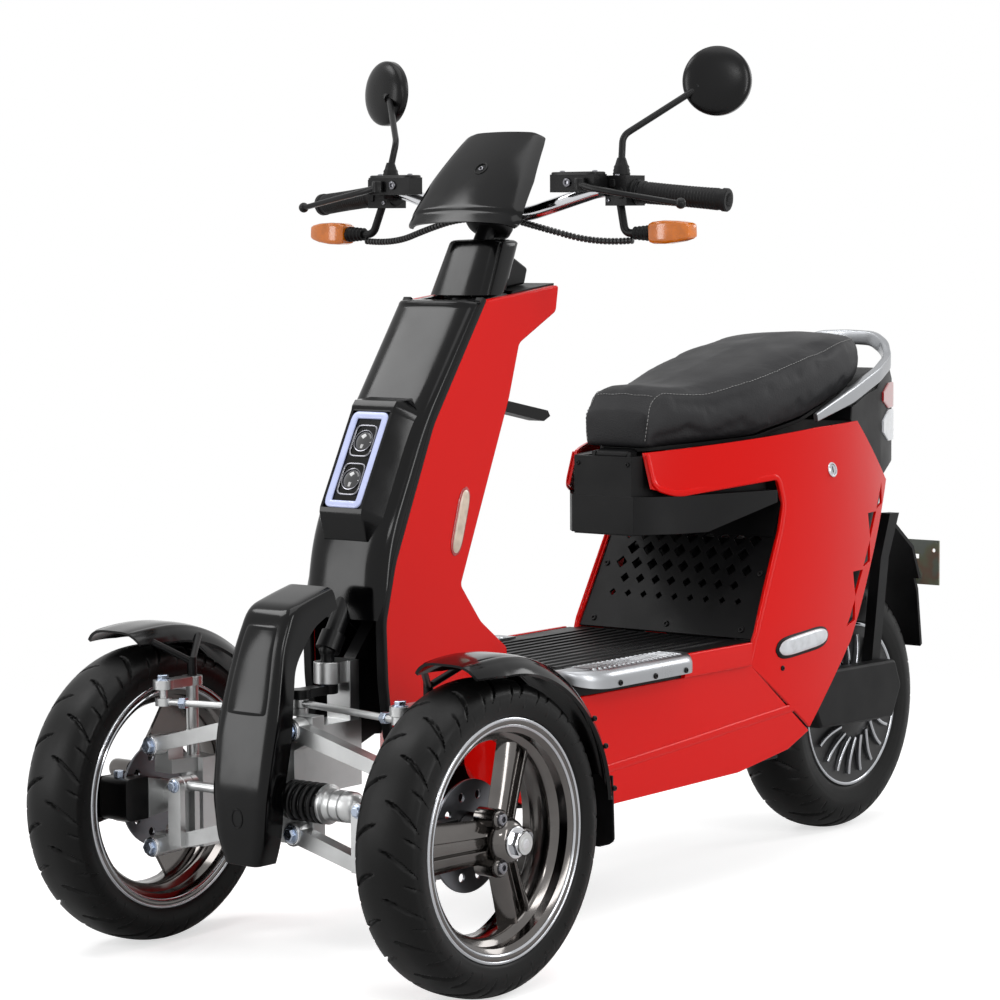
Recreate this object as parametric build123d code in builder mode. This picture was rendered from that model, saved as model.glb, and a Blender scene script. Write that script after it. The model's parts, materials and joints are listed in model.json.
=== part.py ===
"""Electric scooter with two steered leaning front wheels and a hub-motor rear wheel."""
import os
from math import cos, radians, sin, tan

from build123d import *

os.makedirs("parts", exist_ok=True)

# Layout in mm: X forward, Y left, Z up, road at Z 0
wheelbase = 1362
track = 620
tyre_r = 218
rear_overhang = 248
front_x = (tyre_r + wheelbase + rear_overhang) / 2 - tyre_r
rear_x = front_x - wheelbase
axle_z = tyre_r
wheel_y = track / 2
seam = 0.4

# Wheels
front_wall, front_tyre_half, front_seat_half = 50.6, 52.5, 42
rear_wall, rear_tyre_half, rear_seat_half = 77, 58, 46
front_flange_r, rear_flange_r = tyre_r - front_wall, tyre_r - rear_wall
axle_r = 10
disc_r, disc_y = 78, wheel_y - 20

# Steering: column rake, lock and the parallel drag linkage
rake = 32
clamp_d, clamp_z = -430, 1062
king_y = 222
crank = 60
crank_d = -45
joint_z = clamp_z + (clamp_d - crank_d) / tan(radians(rake))
link_z = 372

# Leaning linkage: pivots on the tower and on the uprights
inner_y, outer_y = 45, 226
upper_in_z, upper_out_z = 350, 304
lower_in_z, lower_out_z = 205, 157
arm_d, arm_t = 62, 22

# Number plate holes
plate_hole_y, plate_hole_r = 70, 3.5

# Body
column_half = 61.5
panel_t = 14
floor_z, floor_t = 386, 14
sill_z = 350


def f(d):
    """X of a point d ahead of the front axle."""
    return front_x + d


def r(d):
    """X of a point d ahead of the rear axle."""
    return rear_x + d


def front(points):
    """Side-view outline measured from the front axle."""
    return [(f(d), z) for d, z in points]


def rear(points):
    """Side-view outline measured from the rear axle."""
    return [(r(d), z) for d, z in points]


def slab(points, y0, y1, mode=Mode.ADD):
    """Side-view outline run across from y0 to y1."""
    with BuildSketch(Plane.XZ.offset(-y0)) as outline:
        with BuildLine():
            Polyline(*points, close=True)
        make_face()
    extrude(outline.sketch, amount=y0 - y1, mode=mode)


def plan(points, z0, z1, mode=Mode.ADD):
    """Plan outline of the left half, closed by its mirror image, run up from z0 to z1."""
    with BuildSketch(Plane.XY.offset(z0)) as outline:
        with BuildLine():
            Polyline(*points, *[(x, -y) for x, y in reversed(points)], close=True)
        make_face()
    extrude(outline.sketch, amount=z1 - z0, mode=mode)


def face_on(points, x0, x1, mode=Mode.ADD):
    """Front-view outline (y, z) run along from x0 to x1."""
    with BuildSketch(Plane.YZ.offset(x0)) as outline:
        with BuildLine():
            Polyline(*points, close=True)
        make_face()
    extrude(outline.sketch, amount=x1 - x0, mode=mode)


def tube(points, radius, bend=0, mode=Mode.ADD):
    """Round bar along a path of straights joined by bends."""
    with BuildLine() as path:
        if bend:
            FilletPolyline(*points, radius=bend)
        else:
            Polyline(*points)
    with BuildSketch(Plane(path.line @ 0, z_dir=path.line % 0)) as ring:
        Circle(radius)
    sweep(ring.sketch, path.line, mode=mode)


def block(x0, x1, y0, y1, z0, z1, mode=Mode.ADD):
    """Box between two corners."""
    with Locations(((x0 + x1) / 2, (y0 + y1) / 2, (z0 + z1) / 2)):
        Box(x1 - x0, y1 - y0, z1 - z0, mode=mode)


def turn(outline, x, y_mid, mode=Mode.ADD):
    """Outline of (offset from the mid-plane, radius) turned about the axle at x."""
    with BuildSketch(Plane.YZ.offset(x)) as section:
        with BuildLine():
            Polyline(*[(y_mid + y, axle_z + rad) for y, rad in outline], close=True)
        make_face()
    revolve(section.sketch, Axis((x, 0, axle_z), (0, 1, 0)), mode=mode)


def both_edges(half):
    """Close a half section with its mirror image."""
    return half + [(-y, rad) for y, rad in reversed(half)]


def tyre_outline(seat_half, flange_r, half_w):
    """Tyre section seated between the rim's flanges."""
    wall = tyre_r - flange_r
    return both_edges([
        (seat_half - seam, flange_r - 13), (seat_half - seam, flange_r + seam),
        (seat_half + 5, flange_r + 1.5), (half_w, flange_r + 0.38 * wall),
        (half_w - 4, flange_r + 0.68 * wall), (0.66 * half_w, tyre_r - 6),
        (0.3 * half_w, tyre_r)])


def save(part, name):
    """Label one node and write its file."""
    part.label = name
    export_step(part, f"parts/{name}.step")


def save_pair(part, name):
    """Write a left node and its mirror image on the right."""
    save(part, f"left_{name}")
    save(mirror(part, about=Plane.XZ), f"right_{name}")


def column_at(z):
    """Distance of the steering axis ahead of the front axle at height z."""
    return clamp_d + (clamp_z - z) * tan(radians(rake))


def on_column(z):
    """Point of the steering axis at height z."""
    return (f(column_at(z)), 0, z)


# Front wheels
wheel_face = Plane((front_x, wheel_y, axle_z), x_dir=(1, 0, 0), z_dir=(0, 1, 0))

with BuildPart() as front_tyre:
    turn(tyre_outline(front_seat_half, front_flange_r, front_tyre_half), front_x, wheel_y)
save_pair(front_tyre.part, "front_tyre")

spoke_r = front_flange_r - 30.4
with BuildPart() as spider:
    turn([(10, spoke_r), (34, spoke_r), (44, spoke_r - 27), (60, 50), (62, 16), (26, 16), (22, 50),
          (12, spoke_r - 19)], front_x, wheel_y)
    with BuildSketch(wheel_face) as spokes:
        Circle(36)
        with PolarLocations(0, 3):
            Polygon((25, -27), (spoke_r + 3, -38), (spoke_r + 3, 38), (25, 27), align=None)
    extrude(spokes.sketch, amount=80, mode=Mode.INTERSECT)
    with BuildSketch(wheel_face.offset(26)) as slots:
        with PolarLocations((spoke_r + 47) / 2, 3):
            SlotCenterToCenter(spoke_r - 75, 15)
    extrude(slots.sketch, amount=60, mode=Mode.SUBTRACT)

with BuildPart() as front_rim:
    well = [(18, 33), (26, 21), (40, 20), (46, 10), (46, 0), (42, 0), (42, 14), (26, 15), (18, 27)]
    turn(both_edges([(y, front_flange_r - depth) for y, depth in well]), front_x, wheel_y)
    add(spider.part)
    with Locations(wheel_face.offset(23)):
        Cylinder(34, 78)
    with Locations(wheel_face.offset(36)):
        with PolarLocations(38, 3, start_angle=60):
            Cylinder(13, 36)
    with Locations(wheel_face):
        Cylinder(axle_r + seam, 200, mode=Mode.SUBTRACT)
save_pair(front_rim.part, "front_rim")

with BuildPart() as disc:
    with Locations(wheel_face.offset(-18.4)):
        Cylinder(disc_r, 4)
        Cylinder(26, 4, mode=Mode.SUBTRACT)
        Cylinder(34, 4)
        Cylinder(axle_r + 5, 4, mode=Mode.SUBTRACT)
        with PolarLocations(58, 10):
            Cylinder(6, 4, mode=Mode.SUBTRACT)
save_pair(disc.part, "brake_disc")

# Steered knuckles with kingpin, stub axle and track arm
for side_name, hand, pin_low in (("left", 1, link_z), ("right", -1, link_z - 12)):
    with BuildPart() as knuckle:
        with Locations((front_x, hand * king_y, axle_z)):
            Cylinder(20, 84)
        tube([(front_x, hand * king_y, 146), (front_x, hand * king_y, link_z + 25)], 9)
        tube([(front_x, hand * king_y, axle_z), (front_x, hand * (disc_y - 4), axle_z)], 22)
        tube([(front_x, hand * king_y, axle_z), (front_x, hand * (wheel_y + 80), axle_z)], axle_r)
        with Locations((front_x, hand * (wheel_y + 71), axle_z)):
            Cylinder(15, 17, rotation=(90, 0, 0))
        slab(front([(8, 196), (52, 192), (52, 250), (8, 240)]), hand * 262, hand * 270)
        with BuildSketch(Plane.XY.offset(link_z + 12)) as track_arm:
            with Locations((f(0), hand * king_y), (f(crank), hand * king_y)):
                Circle(15)
            with Locations((f(crank / 2), hand * king_y)):
                Rectangle(crank, 22)
        extrude(track_arm.sketch, amount=13)
        tube([(f(crank), hand * king_y, pin_low), (f(crank), hand * king_y, link_z + 14)], 6)
    save(knuckle.part, f"{side_name}_knuckle")

with BuildPart() as caliper:
    block(f(52.4), f(98), 262, 316, 190, 252)
    block(f(50), f(84), disc_y - 3, disc_y + 9, 180, 260, mode=Mode.SUBTRACT)
    fillet(caliper.edges().filter_by(Axis.Y).group_by(Axis.X)[-1], 10)
save_pair(caliper.part, "caliper")

# Front fenders: an arched shell on stays from the track arms, with a flap behind
fender_r, fender_half, fender_t, fender_skirt = tyre_r + 30, 60, 4, 24
flap_rise = 50
flap_d = -(fender_r ** 2 - flap_rise ** 2) ** 0.5
with BuildPart() as fender:
    arch = [(fender_half, -fender_skirt), (fender_half - 2, -10), (fender_half - 18, 0)]
    inside = [(y - fender_t, fender_r + rise) for y, rise in arch]
    outside = [(y, fender_r + fender_t + rise) for y, rise in arch]
    outside[0] = (fender_half, fender_r - fender_skirt)
    turn(outside + [(-y, rad) for y, rad in reversed(outside)]
         + [(-y, rad) for y, rad in inside] + inside[::-1], front_x, wheel_y)
    slab([(front_x, axle_z), (f(107), axle_z + 352), (f(-352), axle_z + 352), (f(-352), axle_z + 40)],
         wheel_y - 2 * fender_half, wheel_y + 2 * fender_half, mode=Mode.INTERSECT)
    slab([(f(flap_d + 3), axle_z + flap_rise), (f(flap_d - 3), axle_z + flap_rise),
          (f(flap_d - 7), axle_z - 48), (f(flap_d - 1), axle_z - 48)], wheel_y - 44, wheel_y + 44)
    post_top = axle_z + fender_r - 42
    tube([(f(0), king_y, link_z + 25 + seam), (f(0), king_y, post_top)], 7)
    for lean in (-12, 12):
        reach = (fender_r - 15) * sin(radians(lean))
        tube([(f(0), king_y, post_top - 7), (f(reach), wheel_y - fender_half + 2,
                                             axle_z + (fender_r - 15) * cos(radians(lean)))], 5)
save_pair(fender.part, "fender")

# Uprights: fixed brackets that hold the kingpins and the outer pivots of the arms
with BuildPart() as uprights:
    block(f(-18), f(18), 186, 199, 152, 282)
    for z0, z1, boss_z in ((262, 282, upper_out_z), (152, 174, lower_out_z)):
        with BuildSketch(Plane.XY.offset(z0)) as lug:
            with Locations((front_x, king_y)):
                Circle(20)
            Polygon((f(-18), 186), (f(61), 206), (f(61), 240), (f(-12), 238), align=None)
        extrude(lug.sketch, amount=z1 - z0)
        block(f(30), f(61), outer_y - 13, outer_y + 13, min(z0, boss_z), max(z1, boss_z))
        tube([(f(30), outer_y, boss_z), (f(arm_d - seam), outer_y, boss_z)], 14)
        tube([(f(40), outer_y, boss_z), (f(arm_d + arm_t + 7), outer_y, boss_z)], 8)
    tube([(front_x, king_y, 140), (front_x, king_y, 300)], 9 + seam, mode=Mode.SUBTRACT)
    mirror(about=Plane.XZ)
save(uprights.part, "uprights")

# Leaning arms, upper and lower, with ears for the transverse damper
damper_y, damper_z = 172, 252
coil_start, coil_end, coil_r, wire_r = 39.4, 94, 24, 4.5
with BuildPart() as arms:
    for in_z, out_z in ((upper_in_z, upper_out_z), (lower_in_z, lower_out_z)):
        with BuildSketch(Plane.YZ.offset(f(arm_d))) as arm:
            with Locations((inner_y, in_z)):
                Circle(17)
            with Locations((outer_y, out_z)):
                Circle(15)
            with BuildLine():
                Polyline((inner_y, in_z - 12), (outer_y, out_z - 10), (outer_y, out_z + 10),
                         (inner_y, in_z + 12), close=True)
            make_face()
            with Locations((inner_y, in_z), (outer_y, out_z)):
                Circle(8 + seam, mode=Mode.SUBTRACT)
        extrude(arm.sketch, amount=arm_t)
    for ear_d in (arm_d - 9, arm_d + arm_t - 1):
        with BuildSketch(Plane.YZ.offset(f(ear_d))) as ear:
            with Locations((damper_y, damper_z)):
                Circle(12)
            with Locations((damper_y, (damper_z + 160) / 2 + 3)):
                Rectangle(24, damper_z - 166)
        extrude(ear.sketch, amount=10)
    tube([(f(arm_d - 9), damper_y, damper_z), (f(arm_d + arm_t + 9), damper_y, damper_z)], 6)
    mirror(about=Plane.XZ)
save(arms.part, "leaning_arms")

# Transverse damper with its coil
with BuildPart() as damper:
    for hand in (1, -1):
        with Locations((f(arm_d + arm_t / 2), hand * damper_y, damper_z)):
            Cylinder(12, arm_t - 2 - 2 * seam, rotation=(0, 90, 0))
    mid = f(arm_d + arm_t / 2)
    tube([(mid, -damper_y, damper_z), (mid, damper_y, damper_z)], 7)
    tube([(mid, coil_end + 5, damper_z), (mid, damper_y - 14, damper_z)], 22)
    tube([(mid, coil_end + 5, damper_z), (mid, coil_end + 12, damper_z)], 28)
    tube([(mid, 30.4, damper_z), (mid, 34.4, damper_z)], 27)
    for hand in (1, -1):
        with Locations((mid, hand * damper_y, damper_z)):
            Cylinder(6 + seam, 40, rotation=(0, 90, 0), mode=Mode.SUBTRACT)
save(damper.part, "front_damper")

with BuildPart() as coil:
    with BuildLine() as path:
        Helix((coil_end - coil_start) / 4, coil_end - coil_start, coil_r,
              center=(mid, coil_start, damper_z), direction=(0, 1, 0))
    with BuildSketch(Plane(path.line @ 0, z_dir=path.line % 0)) as wire:
        RegularPolygon(wire_r, 6)
    sweep(wire.sketch, path.line)
save(coil.part, "front_coil")

# Tower that carries the arms, the pitman bearing and the nose cover
with BuildPart() as tower:
    face_on([(-64, 186), (-64, 224), (-30, 240), (-30, 318), (-64, 334), (-64, 368), (-36, 368),
             (-22, 352), (22, 352), (36, 368), (64, 368), (64, 334), (30, 318), (30, 240),
             (64, 224), (64, 186)], f(36), f(arm_d - seam))
    block(f(-88), f(40), -26, 26, 250, 345)
    block(f(-88), f(-68), -22, 22, 250, 430)
    with BuildSketch(Plane.XY.offset(link_z + 27)) as bearing:
        with Locations((f(crank_d), 0)):
            Circle(20)
        with Locations((f(crank_d - 20), 0)):
            Rectangle(40, 36)
    extrude(bearing.sketch, amount=31)
    with Locations((f(crank_d), 0, link_z + 40)):
        Cylinder(10 + seam, 80, mode=Mode.SUBTRACT)
    for hand in (1, -1):
        for z in (upper_in_z, lower_in_z):
            tube([(f(40), hand * inner_y, z), (f(arm_d + arm_t + 7), hand * inner_y, z)], 8)
    tube([(mid, 30, damper_z), (mid, 112, damper_z)], coil_r + 8, mode=Mode.SUBTRACT)
    block(f(50), f(104), -16, 16, 290, 318)
save(tower.part, "front_tower")

# Pitman: a ball under the column, its shaft and the crank that draws both tie rods
with BuildPart() as pitman:
    with Locations((f(crank_d), 0, joint_z)):
        Sphere(12)
    tube([(f(crank_d), 0, link_z + 12), (f(crank_d), 0, joint_z)], 10)
    with BuildSketch(Plane.XY.offset(link_z + 12)) as crank_arm:
        with Locations((f(crank_d), 0), (f(crank_d + crank), 0)):
            Circle(15)
        with Locations((f(crank_d + crank / 2), 0)):
            Rectangle(crank, 22)
    extrude(crank_arm.sketch, amount=13)
    tube([(f(crank_d + crank), 0, link_z - 14), (f(crank_d + crank), 0, link_z + 14)], 6)
save(pitman.part, "pitman_crank")

for side_name, hand, z in (("left", 1, link_z), ("right", -1, link_z - 12)):
    ends = [(f(crank_d + crank), 0, z + 5.5), (f(crank), hand * king_y, z + 5.5)]
    with BuildPart() as tie_rod:
        for end in ends:
            with Locations(end):
                Cylinder(12, 11)
        tube(ends, 5)
        for end in ends:
            with Locations(end):
                Cylinder(6 + seam, 20, mode=Mode.SUBTRACT)
    save(tie_rod.part, f"{side_name}_tie_rod")

# Column, handlebar and everything that turns with them
axis_up = (-sin(radians(rake)), 0, cos(radians(rake)))
with BuildPart() as stem:
    with BuildSketch(Plane(on_column(joint_z), z_dir=axis_up)) as cup:
        Circle(18)
    extrude(cup.sketch, amount=26)
    with Locations(on_column(joint_z)):
        Sphere(12 + seam, mode=Mode.SUBTRACT)
    tube([on_column(joint_z + 20), on_column(clamp_z)], 14)
    with Locations(Plane(on_column(clamp_z), x_dir=(0, 1, 0), z_dir=axis_up)):
        Box(56, 40, 34)
    cowl_rise, cowl_run = 138, 119
    cowl_len = (cowl_rise ** 2 + cowl_run ** 2) ** 0.5
    slope = (-cowl_run / cowl_len, 0, cowl_rise / cowl_len)
    outward = (cowl_rise / cowl_len, 0, cowl_run / cowl_len)
    post = [tuple(p + k * n for p, n in zip((f(-400), 0, 1115), outward)) for k in (-48, -26.4)]
    tube(post, 9)
    tube([(f(clamp_d), -60, clamp_z), (f(clamp_d), 60, clamp_z)], 11 + seam, mode=Mode.SUBTRACT)
save(stem.part, "steering_stem")

bar_end, bar_knee, bar_root = (-486, 384, 1081), (-449.5, 190, 1099), (clamp_d, 66, clamp_z)


def on_bar(y, hand=1):
    """Point of the handlebar's straight end section at the given distance from the middle."""
    k = (y - bar_knee[1]) / (bar_end[1] - bar_knee[1])
    d, z = (bar_knee[i] + k * (bar_end[i] - bar_knee[i]) for i in (0, 2))
    return (f(d), hand * y, z)


with BuildPart() as handlebar:
    left = [(f(d), y, z) for d, y, z in (bar_end, bar_knee, bar_root)]
    tube(left + [(x, -y, z) for x, y, z in reversed(left)], 11, 26)
save(handlebar.part, "handlebar")

with BuildPart() as grips:
    tube([on_bar(252), on_bar(388)], 17)
    tube([on_bar(240), on_bar(384.4)], 11 + seam, mode=Mode.SUBTRACT)
    mirror(about=Plane.XZ)
save(grips.part, "grips")

with BuildPart() as pods:
    tube([on_bar(206), on_bar(248)], 19)
    block(f(-478), f(-432), 208, 246, 1074, 1118)
    block(f(-428), f(-396), 134, 214, 1094, 1120)
    block(f(-446), f(-420), 204, 214, 1088, 1112)
    tube([(f(-444), 226, 1080), (f(-437), 240, 1034), (f(-437), 310 - seam, 1034)], 6, 14)
    tube([on_bar(200), on_bar(252)], 11 + seam, mode=Mode.SUBTRACT)
    mirror(about=Plane.XZ)
save(pods.part, "control_pods")

with BuildPart() as levers:
    tube([(f(-390.5), 190, 1106), (f(-388), 216, 1099), (f(-409), 356, 1076)], 5, 18)
    with Locations((f(-409), 358, 1076)):
        Sphere(8)
    mirror(about=Plane.XZ)
save(levers.part, "brake_levers")

with BuildPart() as signals:
    block(f(-455), f(-419), 310, 362, 1018, 1050)
    fillet(signals.edges().filter_by(Axis.Y), 11)
    fillet(signals.faces().sort_by(Axis.Y)[-1].edges(), 6)
    mirror(about=Plane.XZ)
save(signals.part, "front_signals")

with BuildPart() as mirrors:
    for hand, yaw in ((1, 25), (-1, -8)):
        facing = (cos(radians(yaw)), sin(radians(yaw)), 0.05)
        centre = Plane((f(-558), hand * 318, 1256), z_dir=facing)
        with BuildPart(mode=Mode.PRIVATE) as shell:
            with Locations(centre):
                Cylinder(51, 24)
            fillet(shell.faces().sort_by(Axis(centre.origin, centre.z_dir))[-1].edges(), 15)
            with Locations(centre.offset(-12)):
                Cylinder(46, 5, mode=Mode.SUBTRACT)
        add(shell.part)
        tube([(f(-456), hand * 220, 1118 + seam), (f(-456), hand * 220, 1132),
              (f(-487), hand * 216, 1181), (f(-548), hand * 300, 1250)], 5.5, 12)
save(mirrors.part, "mirrors")

cowl_bow = 400
with BuildPart() as cowl:
    base = Plane((f(-400), 0, 1115), x_dir=(0, 1, 0), z_dir=outward)
    across = Plane(base.origin - base.y_dir * 140, x_dir=(0, 1, 0), z_dir=slope)
    with BuildSketch(across) as bow:
        with Locations((0, cowl_bow) if across.y_dir.dot(base.z_dir) < 0 else (0, -cowl_bow)):
            Circle(cowl_bow)
            Circle(cowl_bow - 4.5, mode=Mode.SUBTRACT)
    extrude(bow.sketch, amount=280)
    with BuildSketch(base.offset(-90)) as outline:
        with BuildLine():
            rim = [(88, -91), (100, -80), (93, 0), (74, 82), (62, 91)]
            Polyline(*rim, *[(-y, v) for y, v in reversed(rim)], close=True)
        make_face()
    extrude(outline.sketch, amount=100, mode=Mode.INTERSECT)
    with Locations(base.offset(-15)):
        with Locations((0, 14, 0)):
            Box(104, 84, 22)
save(cowl.part, "dash_cowl")

with BuildPart() as looms:
    tube([(f(-437), 268, 1022.5), (f(-430), 200, 1010), (f(-408), 96, 1036),
          (f(-411), 50, 1056), (f(-411), 28 + seam, 1056)], 5, 14)
    mirror(about=Plane.XZ)
save(looms.part, "wiring_looms")

# Main frame: head tube, down tube, floor rails, seat loop and swingarm plates
rail_y = 90
with BuildPart() as frame:
    tube([on_column(590), on_column(900)], 24)
    tube([(f(-176), 0, 640), (f(-240), 0, 420), (f(-310), 0, 350), (f(-400), 0, 350)], 20, 50)
    slab(front([(-88 - seam, 300), (-88 - seam, 425), (-128, 470), (-196, 580), (-230, 560),
                (-262, 410), (-300, 372)]), -11, 11)
    tube([(f(-400), -rail_y, 355), (f(-400), rail_y, 355)], 15)
    for hand in (1, -1):
        tube([(f(-386), hand * rail_y, 355.6), (r(455), hand * rail_y, 355.6),
              (r(350), hand * rail_y, 556), (r(190), hand * rail_y, 588)], 16, 50)
        slab(rear([(480, 346), (480, 362), (440, 386), (330, 330), (326, 220), (374, 220)]),
             hand * 88.4, hand * 98)
        block(r(232), r(268), hand * 84 - 14, hand * 84 + 14, 546, 580)
    tube([(r(206), -rail_y, 594.6), (r(206), rail_y, 594.6)], 14)
    block(r(284), r(404), -96, 96, 300, 306)
    tube([on_column(560), on_column(920)], 14 + seam, mode=Mode.SUBTRACT)
    for hand in (1, -1):
        with Locations((r(350), hand * 93, 240)):
            Cylinder(10 + seam, 30, rotation=(90, 0, 0), mode=Mode.SUBTRACT)
save(frame.part, "main_frame")

with BuildPart() as battery:
    block(r(288), r(384), -72, 72, 306 + seam, 536)
    fillet(battery.edges().filter_by(Axis.Z), 8)
save(battery.part, "battery_block")

# Front column: cover, inner shield, red leg panels
with BuildPart() as cover:
    slab(front([(-290, 938), (-166, 765), (-85, 602), (-73, 515), (-73, 478), (-150, 478),
                (-176, 520), (-300, 800), (-398, 948)]), -column_half, column_half)
    fillet(cover.edges().filter_by(lambda e: abs(e.center().Y) > column_half - 1 and e.center().X
                                   > f(-300 + 0.45 * (950 - e.center().Z))), 16)
    slab(front([(-297, 933), (-171, 763), (-90, 600), (-78, 514), (-78, 470), (-160, 470),
                (-190, 520), (-310, 800), (-405, 945)]), -column_half + 7, column_half - 7,
         mode=Mode.SUBTRACT)
    tube([on_column(900), on_column(990)], 20, mode=Mode.SUBTRACT)
    tube([on_column(430), on_column(570)], 26, mode=Mode.SUBTRACT)
save(cover.part, "column_cover")

with BuildPart() as shield:
    slab(front([(-398.6, 948), (-300.6, 800), (-176.6, 520), (-150.6, 478), (-200, 440),
                (-320, 386.4), (-368, 386.4), (-368, 421), (-308, 466), (-262, 527), (-380, 795),
                (-402, 871), (-494, 913), (-501, 959.6)]), -column_half, column_half)
    slab(front([(-380, 948), (-290, 800), (-170, 520), (-140, 470), (-200, 430), (-310, 380),
                (-362, 380), (-362, 417), (-303, 462), (-257, 527), (-375, 794), (-396, 867),
                (-488, 909), (-494, 953)]), -column_half + 4, column_half - 4,
         mode=Mode.SUBTRACT)
    slab(front([(-376, 797), (-381, 779), (-536, 748), (-552, 755), (-546, 764)]), -15, 15)
    tube([on_column(900), on_column(990)], 20, mode=Mode.SUBTRACT)
save(shield.part, "leg_shield")

with BuildPart() as legs:
    slab(front([(-303, 935), (-495, 957), (-488, 917), (-396, 872), (-373, 793), (-256, 525),
                (-302, 468), (-364, 423), (-364, 388), (-330, 388), (-262, 318), (-240, 300), (-60, 317),
                (-40, 400), (-38, 486), (-60, 568), (-180, 762)]),
         column_half + seam, column_half + seam + panel_t)
    fillet(legs.faces().sort_by(Axis.Y)[-1].edges(), 5)
    mirror(about=Plane.XZ)
save(legs.part, "leg_panels")

with BuildPart() as neck:
    slab(front([(-334, 942.6), (-372, 1026), (-446, 1026), (-420, 951), (-398.6, 948.6)]), -40, 40)
    fillet(neck.edges().filter_by(lambda e: abs(e.center().Y) > 39 and e.center().X > f(-400)
                                  and 960 < e.center().Z < 1020), 14)
    slab(front([(-424, 951.6), (-430, 1004), (-442, 1004), (-486, 982), (-478, 957.6)]), -22, 22)
    tube([on_column(930), on_column(1060)], 20, mode=Mode.SUBTRACT)
save(neck.part, "column_neck")

# Headlamp: housing on the cover, a light frame and two lenses
lamp_hi, lamp_lo = (-147, 781), (-77, 647)
lamp_len = ((lamp_hi[0] - lamp_lo[0]) ** 2 + (lamp_hi[1] - lamp_lo[1]) ** 2) ** 0.5
lamp_up = ((lamp_hi[0] - lamp_lo[0]) / lamp_len, 0, (lamp_hi[1] - lamp_lo[1]) / lamp_len)
lamp_face = Plane((f((lamp_hi[0] + lamp_lo[0]) / 2), 0, (lamp_hi[1] + lamp_lo[1]) / 2),
                  x_dir=(0, 1, 0), z_dir=(lamp_up[2], 0, -lamp_up[0]))
with BuildPart() as lamp:
    slab(front([(-189, 798.5), (-152, 792), lamp_hi, lamp_lo, (-76, 636), (-80, 602),
                (-84.4, 602), (-165.4, 765)]), -40, 40)
    with BuildSketch(lamp_face.offset(-5)) as recess:
        RectangleRounded(66, lamp_len - 4, 12)
    extrude(recess.sketch, amount=10, mode=Mode.SUBTRACT)
save(lamp.part, "headlamp_housing")

with BuildPart() as lenses:
    with BuildSketch(lamp_face.offset(-5)) as ring:
        RectangleRounded(64, lamp_len - 6, 11)
        RectangleRounded(48, lamp_len - 24, 6, mode=Mode.SUBTRACT)
    extrude(ring.sketch, amount=6)
    with BuildSketch(lamp_face.offset(-5)) as eyes:
        with GridLocations(0, 58, 1, 2):
            Circle(21)
    extrude(eyes.sketch, amount=5)
save(lenses.part, "headlamp_lenses")

# Nose cover in front of the tower
nose_line = [(142, 166), (148, 262), (133, 355), (102, 470), (79, 519), (-7, 542)]
nose_half = [(30, 160), (42, 172), (57, 300), (57, 372), (46, 480), (45, 560)]
with BuildPart() as nose:
    slab(front(nose_line + [(-16, 512), (36, 488), (76, 440), (96, 340), (108, 262), (104, 166)]),
         -70, 70)
    face_on(nose_half + [(-y, z) for y, z in reversed(nose_half)], f(-40), f(170),
            mode=Mode.INTERSECT)
    with BuildPart(mode=Mode.PRIVATE) as hollow:
        slab(front([(d - 5, z - 4) for d, z in nose_line]
                   + [(-40, 500), (0, 470), (60, 420), (70, 162)]), -70, 70)
        inset = [(y - 4, z) for y, z in nose_half]
        face_on(inset + [(-y, z) for y, z in reversed(inset)], f(-40), f(170),
                mode=Mode.INTERSECT)
    add(hollow.part, mode=Mode.SUBTRACT)
    block(f(104 + seam), f(142), -12, 12, 294, 314)
    with Locations((f(140), 0, 232)):
        Cylinder(11, 60, rotation=(0, 90, 0), mode=Mode.SUBTRACT)
save(nose.part, "nose_cover")

# Sills: curved walls from the leg panels to the rear side panels
sill_front = column_half + seam + panel_t + seam
with BuildPart() as sills:
    with BuildSketch(Plane.XY.offset(150)) as wall:
        with BuildLine():
            ThreePointArc((f(-258), sill_front), (f(-330), 140), (f(-430), 172))
            Polyline((f(-430), 172), (r(520), 178), (r(320), 185), (r(320), 180), (r(520), 173),
                     (f(-430), 167))
            ThreePointArc((f(-430), 167), (f(-333), 135), (f(-266), sill_front))
            Line((f(-266), sill_front), (f(-258), sill_front))
        make_face()
    extrude(wall.sketch, amount=300)
    slab(front([(-240, sill_z), (-240, 300), (-275, 225), (-340, 190), (-500, 178)])
         + rear([(535, 182), (400, 202), (341, 226), (498, 346), (498, sill_z)]), 0, 300,
         mode=Mode.INTERSECT)
    mirror(about=Plane.XZ)
save(sills.part, "sill_panels")

with BuildPart() as belly:
    plan([(f(-300), 96), (f(-345), 135), (f(-430), 166), (r(520), 172.6), (r(420), 175)],
         190, 196)
save(belly.part, "belly_pan")

# Floor and its metal treads
with BuildPart() as floor:
    plan([(f(-331), 80), (f(-345), 112), (f(-388), 157), (f(-430), 172), (r(520), 181),
          (r(503.4), 180), (r(503.4), 169), (r(484), 169)], sill_z + seam, floor_z)
    plan([(f(-300), 106), (f(-348), 106), (f(-391), 151), (f(-430), 166), (r(520), 175),
          (r(480), 160)], sill_z, floor_z - floor_t, mode=Mode.SUBTRACT)
    for k in range(13):
        block(r(505), f(-430), (k - 6) * 22 - 5, (k - 6) * 22 + 5, floor_z - 1, floor_z + 2.5)
save(floor.part, "floorboard")

tread_rear = -672
with BuildPart() as treads:
    face_on([(148, floor_z + seam), (184, floor_z + seam), (203, floor_z - 18),
             (203, floor_z - 54), (207, floor_z - 54), (207, floor_z - 16),
             (186, floor_z + 5), (148, floor_z + 5)], f(-380), f(tread_rear))
    plan([(f(-380), 148), (f(-404), 178), (f(-440), 210), (f(tread_rear), 210)], 300, 420,
         mode=Mode.INTERSECT)
    mirror(about=Plane.XZ)
save(treads.part, "foot_treads")

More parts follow.
